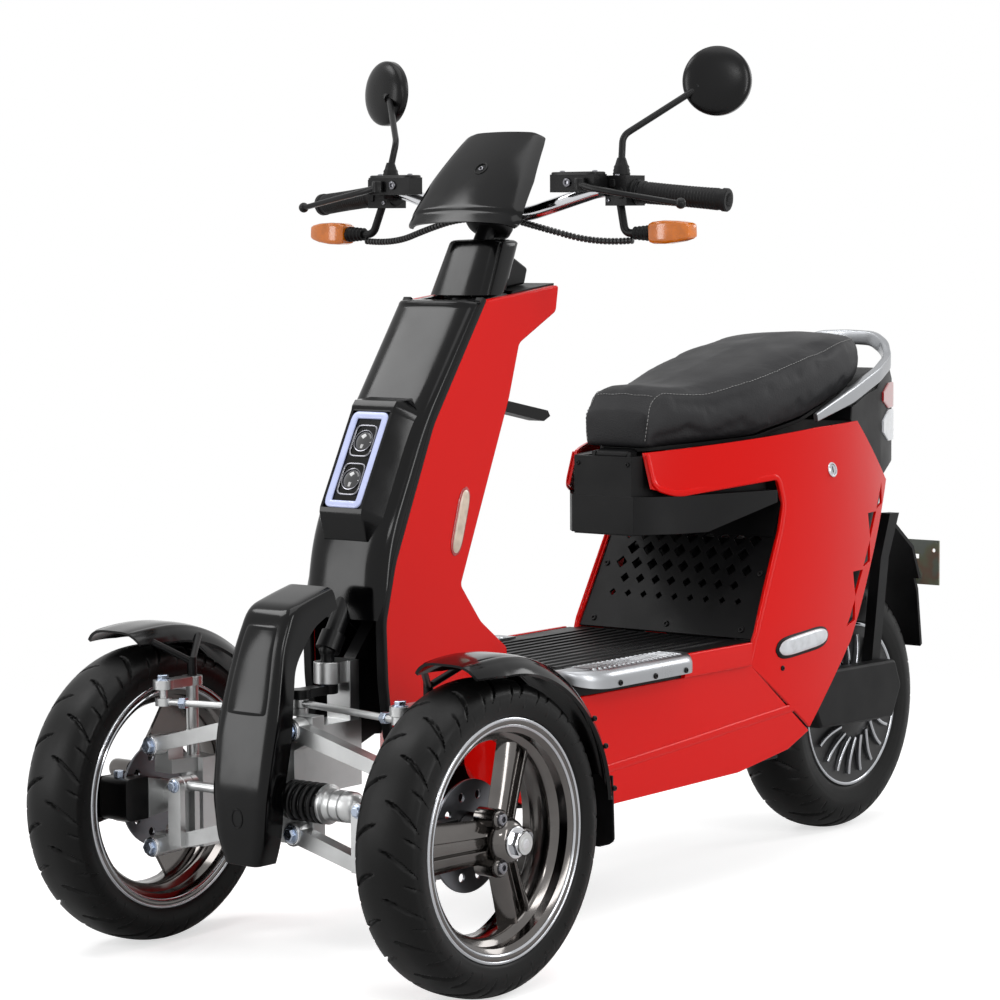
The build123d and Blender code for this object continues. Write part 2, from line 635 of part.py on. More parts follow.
# Body under the seat
grille_up = (-86 / 183.4, 0, 162 / 183.4)
grille_face = Plane((r(488), 0, 389), x_dir=(0, 1, 0), z_dir=(grille_up[2], 0, -grille_up[0]))
with BuildPart() as grille:
    with BuildSketch(grille_face) as sheet:
        with BuildLine():
            Polyline((-170.4, 0), (170.4, 0), (160, 228), (-160, 228), close=True)
        make_face()
        for row, side in enumerate((9, 12, 15, 17, 18)):
            with Locations((0, 62 + 27 * row)):
                with GridLocations(31, 0, 9 - row % 2, 1):
                    Rectangle(side, side, rotation=45, mode=Mode.SUBTRACT)
    extrude(sheet.sketch, amount=-5)
save(grille.part, "underseat_grille")

# Rear side panels: a bowed wall cut to its side outline, with triangular windows
arc_low = ((640, 150), (430, 182), (-60, 128))
arc_high = ((650, 40), (330, 160), (-60, 88))
with BuildPart() as sides:
    for z, arc in ((200, arc_low), (400, arc_low), (760, arc_high)):
        with BuildSketch(Plane.XY.offset(z)):
            with BuildLine():
                outer = [(r(d), y) for d, y in arc]
                inner = [(r(d), y - 5) for d, y in arc]
                ThreePointArc(*outer)
                Line(outer[2], inner[2])
                ThreePointArc(*reversed(inner))
                Line(inner[0], outer[0])
            make_face()
    loft(ruled=True)
    slab(rear([(502, 351), (492, 389), (404, 556), (390, 598), (400, 640), (600, 622),
               (637, 634), (637, 690), (286, 716), (155, 720), (24, 613), (209, 358),
               (341, 232)]), 0, 300, mode=Mode.INTERSECT)
    for k in range(5):
        d, z = 58 + 34 * k, 588 - 46 * k
        tip = 19 if k % 2 else -15
        slab(rear([(d - 4, z + 22), (d + 28, z - 20), (d + 14 + tip, z + 3 + tip)]), 0, 300,
             mode=Mode.SUBTRACT)
    mirror(about=Plane.XZ)
save(sides.part, "side_panels")

hinge_d, hinge_z = 624, 684
with BuildPart() as trim:
    plan([(r(655), 56), (r(640), 62), (r(410), 142), (r(404), 142)], 560, hinge_z)
    plan([(r(656), 60), (r(640), 76), (r(600), 106), (r(410), 165), (r(406), 165)], 562, 621.5)
    plan([(r(649), 51), (r(636), 57), (r(412), 136), (r(380), 136)], 540, hinge_z - 17,
         mode=Mode.SUBTRACT)
    slab(rear([(566, 555), (400, 555), (400, 604)]), -200, 200, mode=Mode.SUBTRACT)
    block(r(hinge_d - 24), r(hinge_d + 24), -46, 46, hinge_z - 12, hinge_z + 20, mode=Mode.SUBTRACT)
    for hand in (1, -1):
        slab(rear([(hinge_d + 10, hinge_z - 18), (hinge_d - 10, hinge_z - 18),
                   (hinge_d - 10, hinge_z - 12), (hinge_d - 8, hinge_z + 6),
                   (hinge_d + 8, hinge_z + 6), (hinge_d + 10, hinge_z - 12)]), hand * 31, hand * 38)
    tube([(r(hinge_d), -38, hinge_z), (r(hinge_d), 38, hinge_z)], 4)
save(trim.part, "seat_front_trim")

with BuildPart() as bucket:
    plan([(r(403.6), 104), (r(192), 112)], 609, 668)
    plan([(r(399), 100), (r(196), 108)], 613, 700, mode=Mode.SUBTRACT)
save(bucket.part, "seat_bucket")

# Seat lid: pad on a base that swings about the front hinge
pad_sections = (  # d, half width, underside, edge, crown
    (616, 56, 696, 742, 748), (594, 62, 697, 784, 790), (500, 92, 701, 778, 792),
    (389, 119, 706, 801, 818), (270, 128, 728, 828, 846), (150, 118, 760, 850, 862),
    (74, 98, 781, 852, 860), (46, 70, 797, 836, 842))
pad_low = [(d, low) for d, half, low, edge, crown in pad_sections]
with BuildPart() as pad:
    for d, half, low, edge, crown in pad_sections:
        side = [(half - 6, low), (half, low + 12), (half, edge - 12), (half - 10, edge), (half / 2, crown)]
        with BuildSketch(Plane.YZ.offset(r(d))):
            with BuildLine():
                Polyline(*side, *[(-y, z) for y, z in reversed(side)], close=True)
            make_face()
    loft(ruled=True)
save(pad.part, "seat_pad")

with BuildPart() as base:
    plan([(r(610), 34), (r(594), 50), (r(500), 82), (r(380), 110), (r(270), 118), (r(150), 108),
          (r(78), 90)], 600, 870)
    slab(rear([(d, z - seam) for d, z in pad_low[:7]]
              + [(d, z - 7) for d, z in reversed(pad_low[:7])]), -200, 200, mode=Mode.INTERSECT)
    slab(rear([(600, 690), (600, 696), (hinge_d, hinge_z + 8), (hinge_d, hinge_z - 6)]), -30, 30)
    tube([(r(hinge_d), -30, hinge_z), (r(hinge_d), 30, hinge_z)], 8)
    tube([(r(hinge_d), -40, hinge_z), (r(hinge_d), 40, hinge_z)], 4 + seam, mode=Mode.SUBTRACT)
save(base.part, "seat_base")

# Tail: fairing, lamp and grab rail
with BuildPart() as tail:
    plan([(r(170), 148), (r(20), 122), (r(-60), 94), (r(-108), 56)], 560, 900)
    slab(rear([(154.2, 720), (23.2, 612), (-70, 640), (-105, 664), (-105, 738), (-44, 800),
               (-10, 793), (22, 784), (40, 768), (80, 762), (150, 742)]), -200, 200,
         mode=Mode.INTERSECT)
save(tail.part, "tail_fairing")

with BuildPart() as tail_lamp:
    block(r(-122), r(-105 - seam), -52, 52, 668, 734)
    fillet(tail_lamp.faces().sort_by(Axis.X)[0].edges(), 8)
save(tail_lamp.part, "tail_lamp")

rail_plan = [(278, 164), (100, 147), (-30, 114), (-62, 76), (-74, 42)]
with BuildPart() as grab:
    plan([(r(d), y) for d, y in rail_plan], 650, 900)
    plan([(r(d + (18 if d < 0 else 0)), y - 17) for d, y in rail_plan], 640, 910,
         mode=Mode.SUBTRACT)
    slab(rear([(278, 716.7), (-26, 798), (-66, 838), (-96, 840), (-96, 864), (-58, 862),
               (-16, 822), (278, 744)]), -200, 200, mode=Mode.INTERSECT)
save(grab.part, "grab_rail")

# Rear end: swingarm, dampers, hub motor, guard and plate holder
with BuildPart() as swing:
    for hand in (1, -1):
        slab(rear([(368, 264), (272, 256), (228, 256), (30, 246), (-30, 246), (-36, 202),
                   (20, 192), (368, 216)]), hand * 72, hand * 88)
        block(r(228), r(272), hand * 84 - 14, hand * 84 + 14, 240, 256)
    tube([(r(350), -80, 240), (r(350), 80, 240)], 18)
    tube([(r(350), -104, 240), (r(350), 104, 240)], 10)
    tube([(r(0), -102, axle_z), (r(0), 102, axle_z)], 9)
    for hand in (1, -1):
        with Locations((r(0), hand * 94, axle_z)):
            Cylinder(15, 13, rotation=(90, 0, 0))
save(swing.part, "swingarm")

with BuildPart() as dampers:
    tube([(r(250), 84, 256 + seam), (r(250), 84, 400)], 13)
    tube([(r(250), 84, 300), (r(250), 84, 546 - seam)], 8)
    tube([(r(250), 84, 510), (r(250), 84, 530)], 17)
    tube([(r(250), 84, 290), (r(250), 84, 302)], 17)
    mirror(about=Plane.XZ)
save(dampers.part, "rear_dampers")

with BuildPart() as swing_cover:
    outline = [(214, 300), (-42, 296), (-62, 250), (-34, 196), (196, 204), (222, 252)]
    slab(rear(outline), 88 + seam, 116)
    fillet(swing_cover.edges().filter_by(Axis.Y), 10)
    chamfer(swing_cover.faces().sort_by(Axis.Y)[-1].edges(), 4)
    slab(rear([(204, 290), (-36, 286), (-52, 250), (-27, 201.6), (190, 209), (212, 252)]), 80, 110,
         mode=Mode.SUBTRACT)
    mirror(about=Plane.XZ)
save(swing_cover.part, "swingarm_covers")

with BuildPart() as rear_tyre:
    turn(tyre_outline(rear_seat_half, rear_flange_r, rear_tyre_half), rear_x, 0)
save(rear_tyre.part, "rear_tyre")

with BuildPart() as motor:
    hub = [(64, 9 + seam), (64, 38), (56, 60), (50, 118), (50, rear_flange_r),
           (rear_seat_half, rear_flange_r), (rear_seat_half, rear_flange_r - 14),
           (30, rear_flange_r - 16)]
    turn(both_edges(hub), rear_x, 0)
    for hand in (1, -1):
        with Locations(Plane((rear_x, hand * 56, axle_z), x_dir=(1, 0, 0), z_dir=(0, 1, 0))):
            with PolarLocations(86, 14):
                Box(64, 6, 12)
save(motor.part, "rear_hub_motor")

guard_line = [(20, 566), (-96, 540), (-178, 480), (-213, 400), (-227, 300)]
with BuildPart() as guard:
    slab(rear(guard_line + [(d + 6, z - 4) for d, z in reversed(guard_line)]), -69, 69)
    for hand in (1, -1):
        slab(rear([(-4, 246 + seam), (-30, 246 + seam), (-66, 470), (-100, 545), (-70, 546),
                   (-40, 470)]), hand * 66, hand * 86)
        block(r(-260), r(-160), hand * 78 - 20, hand * 78 + 20, 280, 420, mode=Mode.SUBTRACT)
save(guard.part, "rear_guard")

with BuildPart() as plate:
    block(r(-rear_overhang), r(3 - rear_overhang), -81, 81, 404, 484)
    slab(rear([(-206.4, 416), (-195.9, 440), (2 - rear_overhang, 440), (2 - rear_overhang, 416)]),
         -24, 24)
    for hand in (1, -1):
        with Locations((r(-rear_overhang), hand * plate_hole_y, 466)):
            Cylinder(plate_hole_r, 20, rotation=(0, 90, 0), mode=Mode.SUBTRACT)
    block(r(-rear_overhang - 4), r(10 - rear_overhang), -40, 40, 450, 458, mode=Mode.SUBTRACT)
save(plate.part, "plate_holder")
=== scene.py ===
"""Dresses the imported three-wheel electric scooter: body skins, wheels, controls, seat and finishes."""
from __future__ import annotations

import json
import logging
import math
from collections.abc import Iterable
from dataclasses import dataclass, field
from enum import Enum

import bmesh
import bpy
import numpy as np
from mathutils import Matrix, Vector

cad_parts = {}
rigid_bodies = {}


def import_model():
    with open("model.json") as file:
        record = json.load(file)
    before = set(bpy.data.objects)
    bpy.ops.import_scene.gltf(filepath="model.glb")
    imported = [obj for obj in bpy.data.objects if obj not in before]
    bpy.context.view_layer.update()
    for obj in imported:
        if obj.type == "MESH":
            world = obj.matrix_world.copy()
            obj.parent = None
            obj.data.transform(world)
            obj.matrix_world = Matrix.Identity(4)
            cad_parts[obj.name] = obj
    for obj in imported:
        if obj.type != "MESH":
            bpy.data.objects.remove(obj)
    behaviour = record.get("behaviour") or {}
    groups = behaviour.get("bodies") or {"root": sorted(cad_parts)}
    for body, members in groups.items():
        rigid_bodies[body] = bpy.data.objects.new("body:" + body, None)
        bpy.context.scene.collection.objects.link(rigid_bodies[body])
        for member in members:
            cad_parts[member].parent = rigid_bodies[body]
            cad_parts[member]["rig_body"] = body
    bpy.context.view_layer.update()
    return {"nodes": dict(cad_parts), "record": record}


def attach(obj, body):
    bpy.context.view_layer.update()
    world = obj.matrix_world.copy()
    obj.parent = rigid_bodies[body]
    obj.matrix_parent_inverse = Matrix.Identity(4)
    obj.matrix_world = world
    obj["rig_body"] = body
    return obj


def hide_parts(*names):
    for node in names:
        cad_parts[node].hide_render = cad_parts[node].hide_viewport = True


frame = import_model()
log = logging.getLogger("scooter")

Array = np.ndarray
MM = 0.001
FRONT_X, REAR_X, AXLE_Z, WHEEL_Y = 696.0, -666.0, 218.0, 310.0
AHEAD, LEFT, UP = np.eye(3)
FRONT, REAR = FRONT_X * AHEAD, REAR_X * AHEAD
FLIP = np.array((1, -1, 1))
RAKE = math.radians(32)
SIDES = (("left", 1), ("right", -1))


class Texture(Enum):
    """Kinds of surface relief that a finish can carry."""

    SMOOTH = "smooth"
    GRAIN = "grain"
    CAST = "cast"
    BRUSHED = "brushed"
    PEBBLE = "pebble"
    RAINBOW = "rainbow"


def linear(hex_colour: str) -> tuple[float, float, float, float]:
    """Turn an sRGB hex value such as "c8102e" into linear RGBA.

    Args:
        hex_colour: six hex digits.

    Returns:
        Linear red, green, blue and an alpha of 1.
    """
    s = np.array([int(hex_colour[k:k + 2], 16) for k in (0, 2, 4)]) / 255
    rgb = np.where(s <= 0.04045, s / 12.92, ((s + 0.055) / 1.055) ** 2.4)
    return (*map(float, rgb), 1.0)


def add_node(tree: bpy.types.NodeTree, kind: str, inputs: dict | None = None, **settings) -> bpy.types.Node:
    """Add one shader node with its settings, socket values and incoming links.

    Args:
        tree: node tree to extend.
        kind: Blender's node type name.
        inputs: socket name or index to a value, or to an output socket to link from.
        settings: properties of the node itself.

    Returns:
        The new node.
    """
    node = tree.nodes.new(kind)
    for key, value in settings.items():
        setattr(node, key, value)
    for key, value in (inputs or {}).items():
        if isinstance(value, bpy.types.NodeSocket):
            tree.links.new(value, node.inputs[key])
        else:
            node.inputs[key].default_value = value
    return node


def emptied(holder: bpy.types.Material | bpy.types.World) -> bpy.types.NodeTree:
    """Node tree of a new material or world, with nothing in it."""
    holder.use_nodes = True
    holder.node_tree.nodes.clear()
    return holder.node_tree


@dataclass(frozen=True)
class Finish:
    """One real finish: what it is made of, how its surface was made, and the record's slot for it.

    grain_mm is the spacing of the relief and relief_mm its depth; mottle is the share by which the colour
    drifts over mottle_mm, and wander how far the roughness drifts with it.
    """

    name: str
    colour: str
    slot: str
    metallic: float = 0.0
    roughness: float = 0.4
    ior: float = 1.5
    coat: float = 0.0
    texture: Texture = Texture.SMOOTH
    grain_mm: float = 1.0
    relief_mm: float = 0.02
    mottle: float = 0.08
    mottle_mm: float = 60.0
    wander: float = 0.06
    glow: float = 0.0
    tints: tuple[str, ...] = ()

    def material(self) -> bpy.types.Material:
        """Build the node material once and return it."""
        made = bpy.data.materials.get(self.name)
        if made:
            return made
        made = bpy.data.materials.new(self.name)
        tree = emptied(made)
        place = add_node(tree, "ShaderNodeTexCoord").outputs["Object"]
        drift = add_node(tree, "ShaderNodeTexNoise", {
            "Vector": place, "Scale": 1 / (self.mottle_mm * MM), "Detail": 3.0}).outputs["Fac"]
        base = linear(self.colour)
        dark = tuple(c * (1 - 2 * self.mottle) for c in base[:3]) + (1.0,)
        ramp = add_node(tree, "ShaderNodeValToRGB", {"Fac": drift})
        stops = ramp.color_ramp.elements
        stops[0].position, stops[1].position = 0.3, 0.6
        stops[0].color, stops[1].color = dark, base
        for k, tint in enumerate(self.tints):
            stops.new(0.36 + 0.06 * k).color = linear(tint)
        rough = add_node(tree, "ShaderNodeMapRange", {
            "Value": drift, "From Min": 0.3, "From Max": 0.7,
            "To Min": max(self.roughness - self.wander, 0.02), "To Max": self.roughness + self.wander})
        shader = add_node(tree, "ShaderNodeBsdfPrincipled", {
            "Base Color": ramp.outputs["Color"], "Roughness": rough.outputs["Result"],
            "Metallic": self.metallic, "IOR": self.ior, "Coat Weight": self.coat, "Coat Roughness": 0.04})
        if self.glow:
            shader.inputs["Emission Color"].default_value = base
            shader.inputs["Emission Strength"].default_value = self.glow
        if self.texture is not Texture.SMOOTH:
            bump = add_node(tree, "ShaderNodeBump", {
                "Height": self.relief(tree, place), "Distance": self.relief_mm * MM, "Strength": 1.0})
            tree.links.new(bump.outputs["Normal"], shader.inputs["Normal"])
        add_node(tree, "ShaderNodeOutputMaterial", {"Surface": shader.outputs["BSDF"]})
        return made

    def relief(self, tree: bpy.types.NodeTree, place: bpy.types.NodeSocket) -> bpy.types.NodeSocket:
        """Height pattern of the relief.

        Args:
            tree: the material's node tree.
            place: Object coordinates, in metres.

        Returns:
            The socket that carries the height.
        """
        scale = 1 / (self.grain_mm * MM)
        if self.texture is Texture.BRUSHED:
            along = add_node(tree, "ShaderNodeMapping", {"Vector": place, "Scale": (0.02, 1.0, 1.0)})
            place = along.outputs["Vector"]
        if self.texture is Texture.PEBBLE:
            cells = add_node(tree, "ShaderNodeTexVoronoi", {"Vector": place, "Scale": scale},
                             feature="SMOOTH_F1")
            return cells.outputs["Distance"]
        detail = 5.0 if self.texture is Texture.CAST else 2.0
        noise = add_node(tree, "ShaderNodeTexNoise", {"Vector": place, "Scale": scale, "Detail": detail})
        return noise.outputs["Fac"]


# Sprayed lacquer over moulded panels: saturated colour under a thin clear coat
RED_LACQUER = Finish("lacquer_red_gloss", "dc0a04", "red_gloss", roughness=0.26, ior=1.2, coat=0.14,
                     mottle=0.0, wander=0.0)
# Injection-moulded ABS from a polished tool: deep black with sharp reflections
ABS_GLOSS = Finish("abs_black_polished", "050506", "black_gloss", roughness=0.14, ior=1.3, wander=0.05)
# The same ABS from a satin tool: soft, broad reflections
ABS_SATIN = Finish("abs_black_satin", "060607", "black_matte", roughness=0.27, ior=1.3, wander=0.05)
# Blow-moulded split tube for wiring: even black, neither dull nor bright
CORRUGATED = Finish("polyamide_split_tube", "0d0d0e", "rubber", roughness=0.4)
# Injection-moulded polypropylene from an eroded tool: fine grain that breaks up highlights
PP_GRAINED = Finish("polypropylene_black_grained", "0b0b0c", "black_matte", roughness=0.44, ior=1.26,
                    texture=Texture.GRAIN, grain_mm=1.4, relief_mm=0.12)
# Vulcanised tyre tread: soft sheen, slightly dusty
TYRE_RUBBER = Finish("tyre_rubber_vulcanised", "0a0a0a", "tyre", roughness=0.42, ior=1.26,
                     texture=Texture.GRAIN, grain_mm=1.1, relief_mm=0.08, mottle=0.12)
# Cast wheel under dark bright plating: black mirror with soft waviness
BLACK_CHROME = Finish("black_chrome_cast_wheel", "676462", "rim_dark", metallic=1.0, roughness=0.13,
                      texture=Texture.CAST, grain_mm=9.0, relief_mm=0.04)
# The same plating on fasteners, a little brighter
CHROME_DARK = Finish("black_chrome_fastener", "7d7d82", "chrome", metallic=1.0, roughness=0.2, mottle=0.04)
# Sand-cast shell under black enamel: dull black with a coarse skin
CAST_BLACK = Finish("aluminium_cast_enamelled", "171718", "rim_dark", roughness=0.44, texture=Texture.CAST,
                    grain_mm=2.4, relief_mm=0.12)
# Turned rim edge: bright machined aluminium
POLISHED_LIP = Finish("aluminium_machined_lip", "b9bbbf", "chrome", metallic=1.0, roughness=0.16, mottle=0.04)
# Sand-cast aluminium, bead blasted: pale grey metal with a fine granular skin
CAST_ALLOY = Finish("aluminium_cast_blasted", "c3c4c4", "alloy", metallic=1.0, roughness=0.36,
                    texture=Texture.CAST, grain_mm=2.2, relief_mm=0.14)
# Extruded aluminium, satin anodised: even pale metal with fine draw lines
ANODISED = Finish("aluminium_satin_anodised", "a2a4a7", "alloy", metallic=1.0, roughness=0.32,
                  texture=Texture.BRUSHED, grain_mm=0.9, mottle=0.03)
# Powder-coated steel: black with a slight orange-peel skin
POWDER_COAT = Finish("steel_black_powder_coated", "0a0a0b", "steel_black", roughness=0.34, ior=1.3,
                     texture=Texture.CAST, grain_mm=1.8, relief_mm=0.05)
# Surface-ground disc steel, darkened by use
DISC_STEEL = Finish("steel_disc_ground", "6f7074", "disc_steel", metallic=1.0, roughness=0.34,
                    texture=Texture.BRUSHED, grain_mm=1.2, relief_mm=0.03)
# Hard chrome over steel tube and fasteners: a clean bright mirror
CHROME = Finish("chrome_plate_polished", "d2d3d6", "chrome", metallic=1.0, roughness=0.12, mottle=0.03)
# Moulded rubber for grips, seals and hoses: dull, finely grained black
RUBBER = Finish("rubber_moulded_black", "0a0a0b", "rubber", roughness=0.5, ior=1.28, texture=Texture.GRAIN,
                grain_mm=0.9, relief_mm=0.06)
# Dyed polycarbonate lenses: strong colour under a smooth bright skin
AMBER_LENS = Finish("polycarbonate_amber", "e07708", "amber", roughness=0.16, coat=0.4, mottle=0.1,
                    mottle_mm=16.0)
RED_LENS = Finish("polycarbonate_red", "a80c10", "tail_red", roughness=0.14, coat=0.9, mottle=0.06,
                  mottle_mm=20.0)
# Prismatic reflector moulding, pale amber over white
PALE_AMBER = Finish("polycarbonate_pale_amber", "dcc8b4", "amber", roughness=0.2, coat=0.4, mottle=0.12,
                    mottle_mm=14.0)
# Clear lens over a bright reflector: pale silver
CLEAR_LENS = Finish("polycarbonate_clear_on_silver", "d7dbe0", "lamp_lens", roughness=0.14, coat=0.8,
                    mottle=0.1, mottle_mm=18.0)
# Sewing thread, pale grey
THREAD = Finish("polyester_thread", "8d8d8c", "seat_vinyl", roughness=0.7, mottle=0.1, mottle_mm=6.0)
# Zinc plate with clear blue passivation: a cool tint on the nuts
ZINC_BLUE = Finish("zinc_plate_blue", "aab4c4", "zinc", metallic=1.0, roughness=0.26, mottle_mm=12.0)
# Light guide round the headlamp, lit from behind
LIGHT_GUIDE = Finish("acrylic_light_guide_lit", "b4bce0", "lamp_lens", roughness=0.25, glow=0.4, mottle=0.05,
                     mottle_mm=30)
# Projector lens and display glass: nearly black with one sharp reflection
GLASS = Finish("projector_glass", "0a0b12", "lamp_lens", roughness=0.04, ior=1.52, coat=1.0, mottle=0.02)
# Coated upholstery cloth: charcoal with a pebbled press mark
SEAT_VINYL = Finish("vinyl_charcoal_pebbled", "1c1c1e", "seat_vinyl", roughness=0.58, ior=1.36,
                    texture=Texture.PEBBLE, grain_mm=2.6, relief_mm=0.3, mottle=0.06)
# Zinc plate with yellow passivation: a grey metal ground with soft olive and rosy tints
ZINC = Finish("zinc_plate_passivated", "90958f", "zinc", metallic=0.6, texture=Texture.RAINBOW,
              grain_mm=2.0, mottle=0.05, mottle_mm=80, tints=("93936e", "8d9488", "9a8072", "8f927c"))
# What each CAD node that keeps its own form is finished in, by its slot in the record
SLOT_FINISH: dict[str, Finish] = {finish.slot: finish for finish in (
    ABS_GLOSS, PP_GRAINED, RED_LACQUER, TYRE_RUBBER, BLACK_CHROME, CAST_ALLOY, POWDER_COAT, DISC_STEEL,
    CHROME, RUBBER, AMBER_LENS, LIGHT_GUIDE, RED_LENS, SEAT_VINYL, ZINC)}


@dataclass
class Surface:
    """Vertices in millimetres and faces of one piece."""

    verts: Array
    faces: list[list[int]]

    def __add__(self, other: Surface) -> Surface:
        """Join two surfaces into one."""
        return joined((self, other))

    def pair(self) -> Surface:
        """This surface and its mirror image across the middle plane."""
        return self + Surface(self.verts * FLIP, [face[::-1] for face in self.faces])


def joined(parts: Iterable[Surface]) -> Surface:
    """Several surfaces as one, in their order."""
    parts = list(parts)
    starts = np.cumsum([0] + [len(part.verts) for part in parts]).tolist()
    faces = [[i + start for i in face] for part, start in zip(parts, starts) for face in part.faces]
    return Surface(np.vstack([part.verts for part in parts]), faces)


def grid(points: Array, close_u: bool = False, close_v: bool = False, caps: bool = False) -> Surface:
    """Cover a grid of points with quads.

    Args:
        points: array of shape (rows, columns, 3).
        close_u: join the last row to the first.
        close_v: join the last column to the first.
        caps: close the first and last row with one face each.

    Returns:
        The surface, with one vertex per point.
    """
    rows, cols = points.shape[:2]
    i, j = np.meshgrid(np.arange(rows - (not close_u)), np.arange(cols - (not close_v)), indexing="ij")
    i2, j2 = (i + 1) % rows, (j + 1) % cols
    quads = np.stack([i * cols + j, i2 * cols + j, i2 * cols + j2, i * cols + j2], -1).reshape(-1, 4)
    faces = quads.tolist()
    if caps:
        faces += [list(range(cols))[::-1], [(rows - 1) * cols + k for k in range(cols)]]
    return Surface(points.reshape(-1, 3), faces)


def walled(outer: Array, inner: Array) -> Surface:
    """Sheet with a wall: an outer and an inner grid of points, closed round all four edges."""
    return grid(np.concatenate([outer, inner[:, ::-1]], axis=1), close_v=True, caps=True)


def mesh_of(name: str, surface: Surface) -> bpy.types.Mesh:
    """Mesh of a surface, in metres and with its faces turned outwards."""
    mesh = bpy.data.meshes.new(name)
    mesh.from_pydata((surface.verts * MM).tolist(), [], surface.faces)
    work = bmesh.new()
    work.from_mesh(mesh)
    bmesh.ops.recalc_face_normals(work, faces=work.faces)
    work.to_mesh(mesh)
    work.free()
    return mesh


def vertex_rows(mesh: bpy.types.Mesh, key: str = "co") -> Array:
    """Places of a mesh's vertices, or with key "normal" their normals, as rows of three."""
    flat = np.empty(len(mesh.vertices) * 3)
    mesh.vertices.foreach_get(key, flat)
    return flat.reshape(-1, 3)


def add_piece(name: str, surface: Surface, finish: Finish, node: str, stands: bool = False,
              sharp: float = 32.0, bevel: float = 0.0) -> bpy.types.Object:
    """Make one piece from a surface, finish it and ride it on a node's body.

    Args:
        name: the piece's name.
        surface: its closed form, in millimetres.
        finish: what it is made of.
        node: CAD node whose body carries it.
        stands: it stands for that node, which is then hidden.
        sharp: edges steeper than this many degrees stay crisp.
        bevel: width in millimetres of a rounding on crisp edges.

    Returns:
        The new object.
    """
    return finish_piece(name, mesh_of(name, surface), finish, node, stands, sharp, bevel)


def finish_piece(name: str, mesh: bpy.types.Mesh, finish: Finish, node: str, stands: bool, sharp: float,
                 bevel: float = 0.0, levels: int = 0) -> bpy.types.Object:
    """Args:
        name, finish, node, stands, sharp, bevel: as for add_piece.
        mesh: its form, in metres.
        levels: subdivision levels.

    Returns:
        The new object.
    """
    mesh.polygons.foreach_set("use_smooth", np.ones(len(mesh.polygons), bool))
    mesh.set_sharp_from_angle(angle=math.radians(sharp))
    piece = bpy.data.objects.new(name, mesh)
    bpy.context.scene.collection.objects.link(piece)
    piece.data.materials.append(finish.material())
    if bevel:
        rounding = piece.modifiers.new("rounding", "BEVEL")
        rounding.width, rounding.segments = bevel * MM, 2
        rounding.limit_method, rounding.angle_limit = "ANGLE", math.radians(sharp)
        rounding.use_clamp_overlap, rounding.harden_normals = True, True
    if levels:
        smoothing = piece.modifiers.new("smoothing", "SUBSURF")
        smoothing.levels = smoothing.render_levels = levels
    body = frame["nodes"][node]["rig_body"]
    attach(piece, body)
    if stands:
        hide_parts(node)
    log.info("%s rides on %s", name, body)
    return piece


def rounded_copy(node: str, finish: Finish, bevel: float) -> bpy.types.Object:
    """Stand for a CAD node by its own form with merged corners, clean flats and rounded edges.

    Args:
        node: CAD node to copy.
        finish: what it is made of.
        bevel: edge rounding in millimetres.

    Returns:
        The new object.
    """
    source = frame["nodes"][node].data
    places = vertex_rows(source).astype(np.float32)
    corners = np.empty(len(source.loops), np.int32)
    source.loops.foreach_get("vertex_index", corners)
    _, first, merged = np.unique(np.round(places / (0.01 * MM)).astype(np.int64), axis=0,
                                 return_index=True, return_inverse=True)
    triangles = merged.reshape(-1)[corners].reshape(-1, 3)
    flat = (triangles == np.roll(triangles, 1, axis=1)).any(axis=1)
    name = f"{node}_finished"
    mesh = bpy.data.meshes.new(name)
    mesh.from_pydata(places[first].tolist(), [], triangles[~flat].tolist())
    work = bmesh.new()
    work.from_mesh(mesh)
    bmesh.ops.dissolve_limit(work, angle_limit=math.radians(0.6), verts=work.verts, edges=work.edges)
    work.to_mesh(mesh)
    work.free()
    return finish_piece(name, mesh, finish, node, True, 32.0, bevel)


def basis(direction: Array) -> Array:
    """Rows across, up and along of a frame whose last row is the given direction."""
    along = np.asarray(direction, float) / np.linalg.norm(direction)
    side = np.cross(UP if abs(along[2]) < 0.95 else AHEAD, along)
    side /= np.linalg.norm(side)
    return np.stack([side, np.cross(along, side), along])


def signed_power(x: Array, power: float) -> Array:
    """Raise the size of x to a power and keep its sign, as superellipses need."""
    return np.sign(x) * np.abs(x) ** power


def distances(line: Array) -> Array:
    """Distance along a line from its first point, at each of its points."""
    return np.concatenate([[0], np.cumsum(np.linalg.norm(np.diff(line, axis=0), axis=1))])


def read_table(at: Array, marks: Array, table: Array) -> Array:
    """Each column of a table whose rows lie at the marks, read at the given places between them."""
    return np.stack([np.interp(at, marks, column) for column in np.asarray(table, float).T], -1)


def eased(table: Array, reach: int) -> Array:
    """Running mean of each column over reach rows to both sides, with the end rows repeated."""
    width = 2 * reach + 1
    return np.stack([np.convolve(np.pad(column, reach, mode="edge"), np.full(width, 1 / width), "valid")
                     for column in table.T], -1)


def placed(points: Array, y: Array) -> Array:
    """Side-view points (distance ahead of the front axle, height) set y to the left of the middle plane."""
    points = np.asarray(points, float)
    d, y, z = np.broadcast_arrays(points[..., 0], y, points[..., 1])
    return np.stack([FRONT_X + d, y, z], -1)


def plane_points(origin: Array, up: Array, out: Array, y: Array, v: Array, n: Array) -> Array:
    """Points of a tilted plane: from its origin y to the left, v along up and n along out."""
    y, v, n = (np.asarray(q, float)[..., None] for q in np.broadcast_arrays(y, v, n))
    return np.array(origin) + y * LEFT + v * np.array(up) + n * np.array(out)


